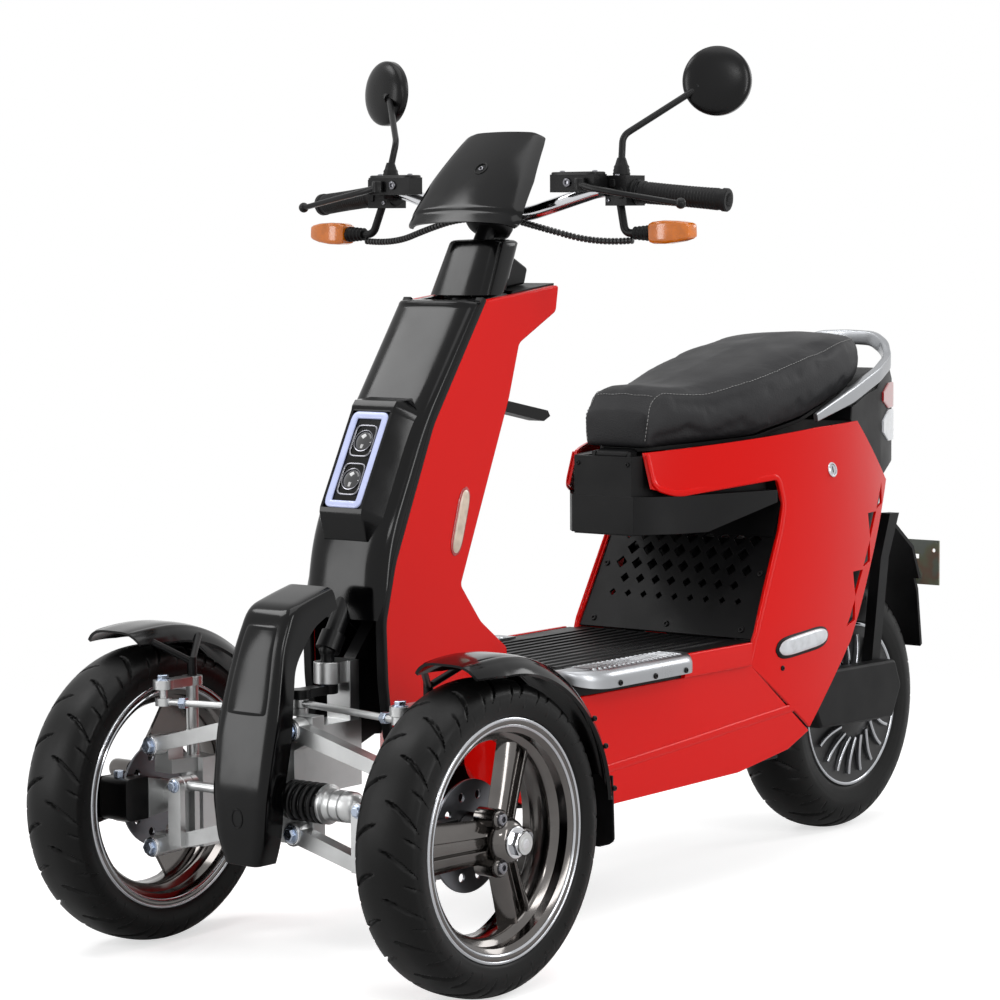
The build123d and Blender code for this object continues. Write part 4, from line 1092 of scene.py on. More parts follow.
@dataclass
class Controls:
    """Everything on the handlebar: grips, levers, switch pods, mirrors, turn signals and wiring looms."""

    grip_in: float = 252.0
    grip_out: float = 388.0
    clamp_y: float = 207.0

    def on_bar(self, y: Array) -> Array:
        """Point of the handlebar's straight end at distance y to the left of the middle."""
        k = (np.asarray(y, float) - 190) / 194
        return np.stack([FRONT_X - 449.5 - 36.5 * k, 190 + 194 * k, 1099 - 18 * k], -1)

    def grips(self) -> None:
        """Rubber grips: the radius swells to both ends and fine rings stand up every 5 mm."""
        start = self.on_bar(self.grip_in)
        axis = self.on_bar(self.grip_out) - start
        length = np.linalg.norm(axis)
        s = np.linspace(0, length, 170)
        rings = 0.75 * (np.sin(2 * np.pi * s / 5) > -0.2) * (s > 12) * (s < length - 16)
        waist = 14.9 + 0.9 * (2 * s / length - 1) ** 2 + rings
        waist = np.where((s < 7) | ((s > length - 9) & (s < length - 1)), 17.0, waist)
        grip = turned(np.stack([s, waist], -1), start, axis, 48)
        add_piece("grips_ribbed", grip.pair(), RUBBER, "grips", True, 50)
        plug = turned([(length - 2, 12.4), (length - 0.4, 12.2), (length, 10.8)], start, axis, 36)
        add_piece("grip_end_plugs", plug.pair(), PP_GRAINED, "grips")

    def levers(self) -> None:
        """Forged levers: a bent blade that thins from its pivot to a ball at its tip."""
        line = former_bent(FRONT + [(-390.5, 190, 1106), (-388, 216, 1099), (-392, 258, 1092),
                                    (-409, 356, 1076)], 14, 9)
        k = np.linspace(0, 1, len(line))
        blade = carried(line, oblong(6.4 - 1.2 * k, 4.9 - 0.9 * k, 3, 20))
        a = np.linspace(0.12, np.pi - 0.12, 18)
        ball = turned(7.9 * np.stack([-np.cos(a), np.sin(a)], -1), FRONT + (-409, 358, 1076), LEFT, 28)
        pivot = turned([(-8, 9), (7, 9), (8.4, 7.6)], FRONT + (-392, 192, 1106), UP, 28)
        lever = joined((blade, ball, pivot))
        add_piece("brake_levers_forged", lever.pair(), POWDER_COAT, "brake_levers", True, 45)

    def pods(self) -> None:
        """Switch pods and master cylinders with their clamps, buttons, lids and screws."""
        node = "control_pods"
        rounded_copy(node, PP_GRAINED, 3.4)
        axis = self.on_bar(self.grip_out) - self.on_bar(self.clamp_y)
        clamps = turned([(0, 14), (0, 19.6), (2, 20.6), (12, 20.6), (14, 19.6), (14, 14)],
                        self.on_bar(self.clamp_y), axis, 40)
        clamps += turned([(0, 15), (1, 19), (30, 20), (36, 18.2), (38, 16)],
                         self.on_bar(self.clamp_y + 5), axis, 40)
        buttons = carried(FRONT + [(-437, 222, 1106), (-430, 222, 1107), (-428.6, 222, 1107)],
                          oblong((5, 5, 4.2), (6, 6, 5.2), 4, 20))
        buttons += carried(FRONT + [(-437, 237, 1092), (-431, 237, 1092), (-429.6, 237, 1092)],
                           oblong((4, 4, 3.2), (8, 8, 7.2), 4, 20))
        lid = carried(FRONT + [(-412, 174, z) for z in (1119.0, 1122.4, 1123.6)],
                      oblong((41, 41, 39.6), (17, 17, 15.6), 6, 40), up=AHEAD)
        add_piece("pod_clamps", clamps.pair(), PP_GRAINED, node, sharp=40)
        add_piece("pod_buttons", buttons.pair(), RUBBER, node, sharp=40)
        add_piece("master_cylinder_lids", lid.pair(), POWDER_COAT, node, sharp=40)
        screws = joined(socket_screw(FRONT + place, way, size) for place, way, size in (
            ((-412, 145, 1123.4), UP, 4.2), ((-412, 204, 1123.4), UP, 4.2), ((-396, 166, 1108), AHEAD, 7.0),
            ((-437, 226, 1118), UP, 3.6), ((-431.8, 214, 1082), AHEAD, 3.4)))
        add_piece("pod_screws", screws.pair(), CHROME_DARK, node)

    def mirrors(self) -> None:
        """Domed mirror shells on bent stems with rubber boots.

        The shell is a turned dome whose height follows a quarter ellipse; the glass lies in its back.
        """
        shells, glasses, stems, boots = [], [], [], []
        a = np.linspace(0, 1.52, 22)
        dome = np.vstack([[(-12, 46), (-12, 50), (-10.5, 51)],
                          np.stack([-2 + 13.9 * np.sin(a), 51 * np.cos(a) ** 0.8], -1)])
        ridge = [(0, 12.5), (3, 13), (5, 12), (8, 12.4), (10, 11.2), (13, 11.4), (16, 9.4),
                 (22, 7.6), (26, 6.2)]
        for hand, yaw in ((1, math.radians(25)), (-1, math.radians(-15))):
            facing = (math.cos(yaw), math.sin(yaw), 0.05)
            side = (1, hand, 1)
            centre = FRONT + np.array((-558, 318, 1256)) * side
            shells.append(turned(dome, centre, facing, 72))
            glasses.append(turned([(-13.2, 46.6), (-11.4, 47.2), (-10, 46)], centre, facing, 72))
            line = former_bent(FRONT + np.array([(-456, 220, 1120), (-456, 220, 1136), (-465, 216, 1176),
                                                 (-549, 300, 1250)]) * side, 11, 9)
            stems.append(carried(line, rod(5.4 - 0.5 * np.linspace(0, 1, len(line)), 20), up=(1, 0, 0.2)))
            stems.append(turned([(-9, 8.5), (2, 8.5), (5, 7), (6.4, 4.4)],
                                centre + (9.5, -hand * 17.0, -5.5), (-0.6, hand * 0.8, 0.5), 28))
            boots.append(turned(ridge, FRONT + (-456, hand * 220, 1118), UP, 32))
        add_piece("mirror_shells", joined(shells), ABS_SATIN, "mirrors", True, 50)
        add_piece("mirror_glasses", joined(glasses), CHROME, "mirrors")
        add_piece("mirror_stems", joined(stems), POWDER_COAT, "mirrors", sharp=50)
        add_piece("mirror_boots", joined(boots), RUBBER, "mirrors", sharp=50)

    def signals(self) -> None:
        """Turn signals: wedge-shaped amber lenses on bellows stems."""
        y = np.array((290.4, 291, 299, 318, 340, 354, 359.4, 360.0))
        line = np.stack([FRONT_X - 437 + 0 * y, y, 1035 + 0.05 * (y - 310)], -1)
        lens = carried(line, oblong((12, 14, 17, 18, 16.4, 13, 10.6, 8.4),
                                    (12, 14, 16.4, 17, 15, 12, 9.6, 7.6), 6, 40))
        s = np.linspace(0, 32, 60)
        bellows = 8.6 + 2.6 * s / 32 + 1.2 * np.cos(2 * np.pi * s / 7) * (s < 29)
        stem = turned(np.stack([s, bellows], -1), FRONT + (-437, 258.6, 1034), LEFT, 32)
        add_piece("signal_lenses", lens.pair(), AMBER_LENS, "front_signals", True, 50, 0.8)
        add_piece("signal_stems", stem.pair(), RUBBER, "front_signals", sharp=60)

    def looms(self) -> None:
        """Corrugated wiring looms that hang from the signals' stems to the column's head.

        The middle line is a quadratic spline through the route; the radius steps up and down every 6.4 mm.
        """
        for side, hand in SIDES:
            route = (FRONT + np.array([(-437, 254, 1023.5), (-432, 196, 1019), (-410, 104, 1043),
                                       (-411, 50, 1056), (-411, 28.4, 1056)]) * (1, hand, 1)) * MM
            curve = bpy.data.curves.new(f"{side}_loom_line", "CURVE")
            curve.dimensions, curve.resolution_u = "3D", 40
            spline = curve.splines.new("NURBS")
            spline.points.add(len(route) - 1)
            spline.points.foreach_set("co", np.hstack([route, np.ones((len(route), 1))]).ravel())
            spline.order_u, spline.use_endpoint_u = 3, True
            holder = bpy.data.objects.new(f"{side}_loom_line", curve)
            raw = vertex_rows(bpy.data.meshes.new_from_object(holder))
            bpy.data.objects.remove(holder)
            way = distances(raw)
            length = float(way[-1])
            even = np.linspace(0, length, 300)
            path = read_table(even, way, raw)
            swell = 4.2 + 0.8 * np.sign(np.sin(2 * np.pi * even / 0.0064))
            tube = carried(path / MM, rod(swell, 16), up=(1, 0, 0.3))
            piece = add_piece(f"{side}_wiring_loom", tube, CORRUGATED, "wiring_looms", True, 60)

    def build(self) -> None:
        """Make every control and the bar that carries them."""
        for part in (self.looms, self.grips, self.levers, self.pods, self.mirrors, self.signals):
            part()
        bar = former_bent(FRONT + [(-486, 384, 1081), (-449.5, 190, 1099), (-430, 66, 1062), (-430, 0, 1062)],
                          22, 10)
        whole = np.vstack([bar, bar[-2::-1] * FLIP])
        tube = carried(whole, rod(11, 32), up=(1, 0, 0.2))
        add_piece("handlebar_tube", tube, CHROME, "handlebar", True, 50)


@dataclass
class Seat:
    """Stuffed seat pad with stitched seams, and the rail round its tail.

    Each section is: distance ahead of the rear axle, half width, underside, edge height and crown height.
    """

    sections: tuple[tuple[float, float, float, float, float], ...] = (
        (622, 60, 696, 738, 744), (610, 66, 696, 774, 780), (594, 70, 696, 785, 792),
        (500, 100, 700, 780, 793), (389, 127, 705, 802, 819), (270, 136, 726, 829, 847),
        (150, 129, 757, 852, 863), (82, 112, 776, 857, 864), (52, 98, 789, 854, 860), (38, 86, 797, 848, 853))
    shrink: float = 2.0
    swell_cap: float = 3.5
    frames: int = 20
    pitch: float = 6.4

    def rows(self, count: int) -> Array:
        """Sections at even spacing along the pad, eased by a running mean."""
        table = np.array(self.sections, float)
        d = np.linspace(table[0, 0], table[-1, 0], count)
        soft = eased(read_table(-d, -table[:, 0], table), 2)
        soft[:, 0] = d
        return soft

    def start(self) -> Surface:
        """Pad before stuffing, drawn in by the shrink on every side.

        Each section is a superellipse between the underside and the edge height, and its top half rises to
        the crown with the square of the distance from the side.

        Returns:
            The closed form.
        """
        d, half, low, edge, crown = (c[:, None] for c in self.rows(64).T)
        half, low, edge = half - self.shrink, low + 1.0, edge - self.shrink
        a = np.linspace(0, 2 * np.pi, 72, endpoint=False)
        y = half * signed_power(np.cos(a), 0.2)
        z = (low + edge) / 2 + (edge - low) / 2 * signed_power(np.sin(a), 0.2)
        z = z + (crown - edge - self.shrink) * (1 - (y / half) ** 2) * (np.sin(a) > 0)
        return grid(np.stack([np.broadcast_to(REAR_X + d, y.shape), y, z], -1), close_v=True, caps=True)

    def stuffed(self) -> bpy.types.Mesh:
        """Blow the start form up as cloth, with each point's move capped, and keep its underside flat."""
        scene = bpy.context.scene
        pad = bpy.data.objects.new("seat_pad_stuffing", mesh_of("seat_pad_cover", self.start()))
        scene.collection.objects.link(pad)
        remesh = pad.modifiers.new("remesh", "REMESH")
        remesh.mode, remesh.voxel_size = "VOXEL", 6 * MM
        result = bpy.data.meshes.new_from_object(pad.evaluated_get(bpy.context.evaluated_depsgraph_get()))
        pad.modifiers.clear()
        pad.data = result
        rest = vertex_rows(result)
        cloth = pad.modifiers.new("stuffing", "CLOTH")
        cloth.settings.effector_weights.gravity = 0.0
        cloth.settings.use_pressure, cloth.settings.uniform_pressure_force = True, 1.4
        cloth.settings.tension_stiffness = cloth.settings.compression_stiffness = 40.0
        scene.frame_start, scene.frame_end = 1, self.frames
        for step in range(1, self.frames + 1):
            scene.frame_set(step)
        result = bpy.data.meshes.new_from_object(pad.evaluated_get(bpy.context.evaluated_depsgraph_get()))
        scene.frame_set(1)
        move = vertex_rows(result) - rest
        size = np.linalg.norm(move, axis=1, keepdims=True)
        move *= np.minimum(1, self.swell_cap * MM / np.maximum(size, 1e-9))
        under = np.interp(rest[:, 0] / MM - REAR_X, *np.array(self.sections)[::-1, (0, 2)].T) * MM
        move[:, 2] = np.maximum(move[:, 2], under + 0.0006 - rest[:, 2])
        result.vertices.foreach_set("co", (rest + move).ravel())
        bpy.data.objects.remove(pad)
        return result

    def stitches(self, mesh: bpy.types.Mesh) -> Surface:
        """Thread along the top seams and down both front corners: short rounded dashes laid on the cover.

        Each dash follows the seam's line, moved onto the nearest points of the cover and lifted by 0.6 mm.

        Args:
            mesh: the stuffed cover.

        Returns:
            All dashes.
        """
        rows = self.rows(80)
        rows = rows[(rows[:, 0] < 608) & (rows[:, 0] > 56)]
        side = np.stack([REAR_X + rows[:, 0], rows[:, 1] - 7, rows[:, 3] + 1], -1)
        corner = REAR + np.linspace((611, 62, 776), (622, 57, 704), 30)
        across = REAR + np.linspace((606, -58, 788), (606, 58, 788), 40)
        place, normals = vertex_rows(mesh) / MM, vertex_rows(mesh, "normal")
        section = oblong((0.35, 0.6, 0.6, 0.35), (0.3, 0.5, 0.5, 0.3), 2, 6)
        dashes = []
        for line in (side, side * FLIP, corner, corner * FLIP, across):
            way = distances(line)
            at = np.arange(2, way[-1] - 5, self.pitch)[:, None] + np.linspace(0, 4.4, 4)
            spots = read_table(at, way, line)
            far = np.linalg.norm(place - spots.reshape(-1, 1, 3), axis=-1)
            near = np.argpartition(far, 6, axis=1)[:, :6]
            base, normal = (rows[near].mean(axis=1).reshape(spots.shape) for rows in (place, normals))
            spots = spots + np.sum((base - spots) * normal, axis=-1, keepdims=True) * normal + 0.6 * normal
            dashes += [carried(dash, section, up=lean) for dash, lean in zip(spots, normal.mean(axis=1))]
        return joined(dashes)

    def build(self) -> None:
        """Make the pad, its thread and the grab rail."""
        cover = self.stuffed()
        pad = finish_piece("seat_pad_cover", cover, SEAT_VINYL, "seat_pad", True, 60, levels=1)
        add_piece("seat_pad_stitching", self.stitches(cover), THREAD, "seat_pad", sharp=60)
        left = REAR + [(278, 155, 731), (150, 144, 763), (40, 126, 792), (-26, 106, 811), (-52, 84, 834),
                       (-64, 54, 849), (-66, 0, 851)]
        line = former_bent(np.vstack([left, left[-2::-1] * FLIP]), 13, 7)
        rise = np.ones(len(line))
        rise[[0, -1]] = 0.55
        rail = carried(line, oblong(7.0 * rise, 12.6 * rise, 5, 32))
        add_piece("grab_rail_bar", rail, ANODISED, "grab_rail", True, 50)


@dataclass
class Footwell:
    """Metal treads at both edges of the floor, with cross ribs and screws."""

    front: float = FRONT_X - 380.0
    back: float = FRONT_X - 672.0
    inner: float = 148.0
    top: float = 391.0
    flat: float = 41.0
    roll: float = 17.0
    wall: float = 4.0

    def tread(self) -> Surface:
        """Left tread: a rolled sheet whose outer edge sweeps out of the floor along a quarter ellipse.

        Across it the sheet is flat, rolls over an arc and hangs down; ribs of 2 mm stand up every 12 mm
        along the flat.

        Returns:
            Sheet with its wall.
        """
        x = np.linspace(self.front, self.back, 240)[:, None]
        t = np.clip((self.front - x) / 74, 0, 1)
        tail = np.clip((x - self.back) / 26, 0, 1)
        reach = (np.sqrt(1 - (1 - t) ** 2) * (0.72 + 0.28 * np.sqrt(1 - (1 - tail) ** 2))).clip(0.04, 1)
        a = np.linspace(0, np.pi / 2, 12)
        level, drop = np.linspace(0, self.flat, 14)[:-1], np.linspace(0, 12, 9)[1:]
        layers = []
        for wall in (0.0, self.wall):
            arc = self.roll - wall
            y = np.concatenate([level, self.flat + arc * np.sin(a), np.full(8, self.flat + arc)])
            z = np.concatenate([np.full(13, -wall), -wall - arc * (1 - np.cos(a)), -self.roll - drop])
            ribs = 2.0 * (np.cos(2 * np.pi * (x - self.front) / 12) > 0.1) * ((y > 3) & (y < 44)) * (t > 0.55)
            ribs = ribs * (wall == 0) * ((x - self.back) > 20)
            layers.append(np.stack([np.broadcast_to(x, ribs.shape), self.inner + y * reach,
                                    self.top + z * reach ** 0.5 + ribs], -1))
        return walled(*layers)

    def build(self) -> None:
        """Make both treads and their screws."""
        add_piece("foot_treads_ribbed", self.tread().pair(), ANODISED, "foot_treads", True, 40)
        screws = joined(socket_screw(FRONT + (d, 205.9, 368), LEFT, 4.6) for d in (-470, -560, -640))
        add_piece("foot_tread_screws", screws.pair(), POWDER_COAT, "foot_treads")


@dataclass
class RearBody:
    """Body panels with their lamps, reflectors, lock and screws."""

    low_arc: tuple[tuple[float, float], ...] = ((640, 150), (430, 182), (-60, 128))
    high_arc: tuple[tuple[float, float], ...] = ((650, 40), (330, 160), (-60, 88))
    grille_foot: tuple[float, float, float] = (REAR_X + 488.0, 0.0, 389.0)
    grille_up: tuple[float, float, float] = (-86 / 183.4, 0.0, 162 / 183.4)
    grille_out: tuple[float, float, float] = (162 / 183.4, 0.0, 86 / 183.4)

    def side_y(self, d: Array, z: Array) -> Array:
        """Half width of the side panel at distance d ahead of the rear axle and height z.

        The panel follows the circle through the three low points up to 400 mm, then straight lines to the
        circle through the three high points at 760 mm.

        Args:
            d: distance ahead of the rear axle.
            z: height.

        Returns:
            Distance of the outer face from the middle plane.
        """
        found = []
        for arc in (self.low_arc, self.high_arc):
            p = np.array(arc, float)
            cx, cy, c = np.linalg.solve(np.column_stack([2 * p, np.ones(3)]), (p ** 2).sum(axis=1))
            found.append(cy + np.sqrt(c + cx ** 2 + cy ** 2 - (np.asarray(d, float) - cx) ** 2))
        share = np.clip((np.asarray(z, float) - 400) / 360, 0, 1)
        return found[0] * (1 - share) + found[1] * share

    def on_side(self, d: Array, z: Array, sink: float = 0.0) -> Array:
        """Points of the left side panel at distance d ahead of the rear axle and height z, sunk into it."""
        return np.stack([REAR_X + d, self.side_y(d, z) - sink, z], -1)

    def sill_y(self, x: Array) -> Array:
        """Half width of the sill at x: straight lines through three points."""
        return np.interp(-x, (430 - FRONT_X, -REAR_X - 520, -REAR_X - 320), (172, 178, 185))

    def lozenge(self, ends: Array, half_w: float, rise: float, out: Array) -> Surface:
        """Long rounded lens between two end points: its width and height follow a rounded-end curve.

        Args:
            ends: the two end points of its middle line.
            half_w: half width at the middle.
            rise: how far it stands out.
            out: direction that it faces.

        Returns:
            The lens and its mirror image.
        """
        k = np.linspace(0, 1, 30)
        swell = np.sqrt(np.clip(1 - np.abs(2 * k - 1) ** 5, 0.02, 1))
        return carried(np.linspace(*ends, 30), oblong(half_w * swell, rise * swell, 2.6, 24), up=out).pair()

    def leg_panels(self) -> None:
        """Red panels beside the column: a flat outline whose corners are rounded as parabolas."""
        outline = [(-399, 946), (-495, 957), (-488, 917), (-398, 872), (-373, 793), (-256, 525), (-302, 468),
                   (-364, 423), (-364, 388), (-330, 388), (-262, 318), (-240, 300), (-96, 314), (-86, 400),
                   (-84, 486), (-106, 568), (-194, 762), (-316, 937), (-399, 946)]
        line = former_bent(placed(outline, 0.0) - FRONT, 6.5, 7)[:-1]
        panel = profile_plate(line[:, (0, 2)], 61.9, 75.9)
        add_piece("leg_panels_moulded", panel.pair(), RED_LACQUER, "leg_panels", True, 50, 4.5)
        edge = [(-236, 301), (-97, 313), (-85, 400), (-82, 486), (-104, 569), (-192, 763), (-315, 939)]
        trim = carried(former_bent(placed(edge, 68.9), 12, 9), oblong(4.4, 7.7, 6, 24), up=LEFT)
        lining = [(-98, 319), (-90, 400), (-88, 484), (-110, 566), (-210, 566), (-262, 400), (-240, 306)]
        trim += profile_plate(lining, 60.2, 61.7)
        add_piece("leg_panel_edge_trims", trim.pair(), PP_GRAINED, "leg_panels", sharp=40)

    def liners(self) -> None:
        """Dark liners inside the side panels, which close the view through their windows.

        Each is a sheet that keeps 12 mm inside the panel's own face.
        """
        k = np.linspace(0, 1, 24)[:, None]
        d = 40 + 158 * k + np.linspace(-22, 40, 12)
        z = np.broadcast_to(606 - 212 * k, d.shape)
        sheet = walled(*(self.on_side(d, z, sink) for sink in (12.0, 14.5)))
        add_piece("side_liners", sheet.pair(), PP_GRAINED, "side_panels", sharp=50)

    def crease(self) -> None:
        """Pressed crease along each sill, a low ridge that climbs, and the sill's lip behind the tread.

        Ahead of the floor the crease draws in to the column along a quarter ellipse.
        """
        x, k = np.linspace(FRONT_X - 330, REAR_X + 372, 60), np.linspace(0, 1, 60)
        front = np.sqrt(np.clip(1 - ((x - FRONT_X + 430).clip(0, 172) / 172) ** 2, 0, 1))
        y = np.where(x > FRONT_X - 430, 76.3 + 95.7 * front, self.sill_y(x))
        ridge = carried(np.stack([x, y - 1.0, 226 + 44 * k ** 1.2], -1), oblong(7.0, 3.0, 2, 14), up=LEFT)
        x = np.linspace(FRONT_X - 668, REAR_X + 512, 20)
        ridge += carried(np.stack([x, self.sill_y(x) + 5, 369 + 0 * x], -1), oblong(4.4, 18.5, 6))
        add_piece("sill_creases", ridge.pair(), RED_LACQUER, "sill_panels", sharp=60)

    def rims(self) -> None:
        """Rolled edge of each side panel's opening: a low rounded bead along it, bent at the corners."""
        edge = [(500, 354), (489, 391), (401, 557), (387, 598), (397, 643), (600, 625), (633, 636),
                (633, 687)]
        line = former_bent([(REAR_X + d, 0, z) for d, z in edge], 13, 9)
        line = self.on_side(line[:, 0] - REAR_X, line[:, 2], 0.6)
        bead = carried(line, oblong(5.2, 3.0, 2.6, 20), up=(0, 1, 0.15))
        add_piece("side_panel_beads", bead.pair(), RED_LACQUER, "side_panels", sharp=60)

    def reflectors(self) -> None:
        """Amber-white strips on the leg panels and clear ovals low on the side panels, each on a base."""
        strip = FRONT + np.array([(-240, 76.2, 572), (-268, 76.2, 664)])
        oval = self.on_side(np.array((430.0, 292.0)), np.array((366.0, 378.0)))
        out = (0.05, 1, 0)
        for name, ends, half_w, rise, way, finish in (
                ("leg_reflector_bases", strip + [(1, 0, -3), (-1, 0, 3)], 13.5, 2.2, LEFT, RED_LENS),
                ("leg_reflectors", strip, 10.6, 4.4, LEFT, PALE_AMBER),
                ("side_reflector_bases", oval + [(6, 0, 0), (-6, 0, 0)], 19, 5.0, out, PP_GRAINED),
                ("side_reflectors", oval + (0, 2.6, 1), 14.5, 6.0, out, CLEAR_LENS)):
            add_piece(name, self.lozenge(ends, half_w, rise, way), finish, "leg_panels", sharp=50)

    def lock(self) -> None:
        """Key lock in the left side panel: turned barrel in a bright ring, with its slot as a dark bar of
        painted shade.
        """
        centre, out = self.on_side(252.0, 645.0), (0.02, 1, 0.22)
        ring = turned([(-6, 12.5), (1.6, 12.5), (2.4, 11.6), (2.4, 9.6), (0.6, 9.2)], centre, out, 40)
        add_piece("seat_lock_ring", ring, CHROME, "side_panels", sharp=40)
        barrel = turned([(-4, 9), (1.4, 9), (2.0, 8.2)], centre, out, 32)
        add_piece("seat_lock_barrel", barrel, POLISHED_LIP, "side_panels")
        _, up, along = basis(out)
        # The key slot is not cut: a dark rubber-finished bar stands on the barrel and paints the slot's shade
        slot = carried(centre + np.outer((1.0, 2.0, 2.3), along), oblong(1.1, 5.2, 4, 16), up=up)
        add_piece("seat_lock_slot", slot, RUBBER, "side_panels")

    def tail_lamp(self) -> None:
        """Tail lamp: a red lens above a clear strip, both crowned to the rear, and wings round both sides."""
        back = np.array((-105.4, -112, -118, -121, -122))
        draw = np.array((0, 0, 2, 5.5, 8.0))
        k = np.linspace(0, 1, 24)
        d, y = np.interp(k, (0, 0.55, 1), (14, -60, -106)), np.interp(k, (0, 0.55, 1), (120.6, 95, 59))
        share = np.interp(k, (0, 0.3, 1), (0.35, 1, 1))
        for name, finish, z, half in (("red", RED_LENS, 711, 23), ("clear", CLEAR_LENS, 677.5, 9.4)):
            lens = carried(REAR + np.outer(back, AHEAD) + z * UP, oblong(52 - draw, half - 0.6 * draw, 5, 44))
            add_piece(f"tail_lamp_{name}", lens, finish, "tail_lamp", name == "red", 50)
        for name, finish, z, half in (("red", RED_LENS, 753, 22), ("clear", CLEAR_LENS, 702, 27)):
            wrap = carried(np.stack([REAR_X + d, y, z + 0 * k], -1), oblong(2.8 + 0 * k, half * share, 6))
            add_piece(f"tail_lamp_side_{name}", wrap.pair(), finish, "tail_lamp", sharp=50)

    def closing(self) -> None:
        """Plates behind the grille: one carries its slope up to the seat's trim, one lies 16 mm behind it."""
        facing = (0.88, 0, 0.47)
        plate = carried(REAR + [(405, 0, 545), (390, 0, 578), (350, 0, 654)], oblong(156, 1.8, 14, 40),
                        up=facing)
        foot = np.array(self.grille_foot) - 16 * np.array((0.883, 0, 0.469))
        slope = np.outer((6, 60, 120, 176), self.grille_up)
        plate += carried(foot + slope, oblong(132, 1.6, 12, 40), up=facing)
        add_piece("grille_closing_plate", plate, PP_GRAINED, "underseat_grille", sharp=40)

    def screws(self) -> None:
        """Screws of the grille, the trim under the seat and the sills."""
        foot, up = np.array(self.grille_foot), np.array(self.grille_up)
        spots = [socket_screw(foot + y * LEFT + v * up, self.grille_out, 5.2) for y, v in (
            (146, 14), (0, 14), (-146, 14), (146, 205), (-146, 205), (152, 112), (-152, 112))]
        spots += [socket_screw(REAR + (655, y, 672), AHEAD, 4.0) for y in (48, -48)]
        add_piece("underseat_screws", joined(spots), POWDER_COAT, "underseat_grille")
        sill = socket_screw(self.on_side(418.0, 336.0), LEFT, 4.4)
        add_piece("sill_screws", sill.pair(), POWDER_COAT, "underseat_grille")

    def build(self) -> None:
        """Make the panels' fittings and round the moulded covers."""
        for part in (self.leg_panels, self.liners, self.crease, self.rims, self.reflectors, self.lock,
                     self.tail_lamp, self.closing, self.screws):
            part()
        for node, finish, bevel in (
                ("side_panels", RED_LACQUER, 3.4), ("sill_panels", RED_LACQUER, 1.6),
                ("seat_front_trim", PP_GRAINED, 4.0), ("tail_fairing", PP_GRAINED, 4.0),
                ("swingarm_covers", PP_GRAINED, 3.0), ("rear_guard", PP_GRAINED, 2.0),
                ("leg_shield", PP_GRAINED, 2.4)):
            rounded_copy(node, finish, bevel)


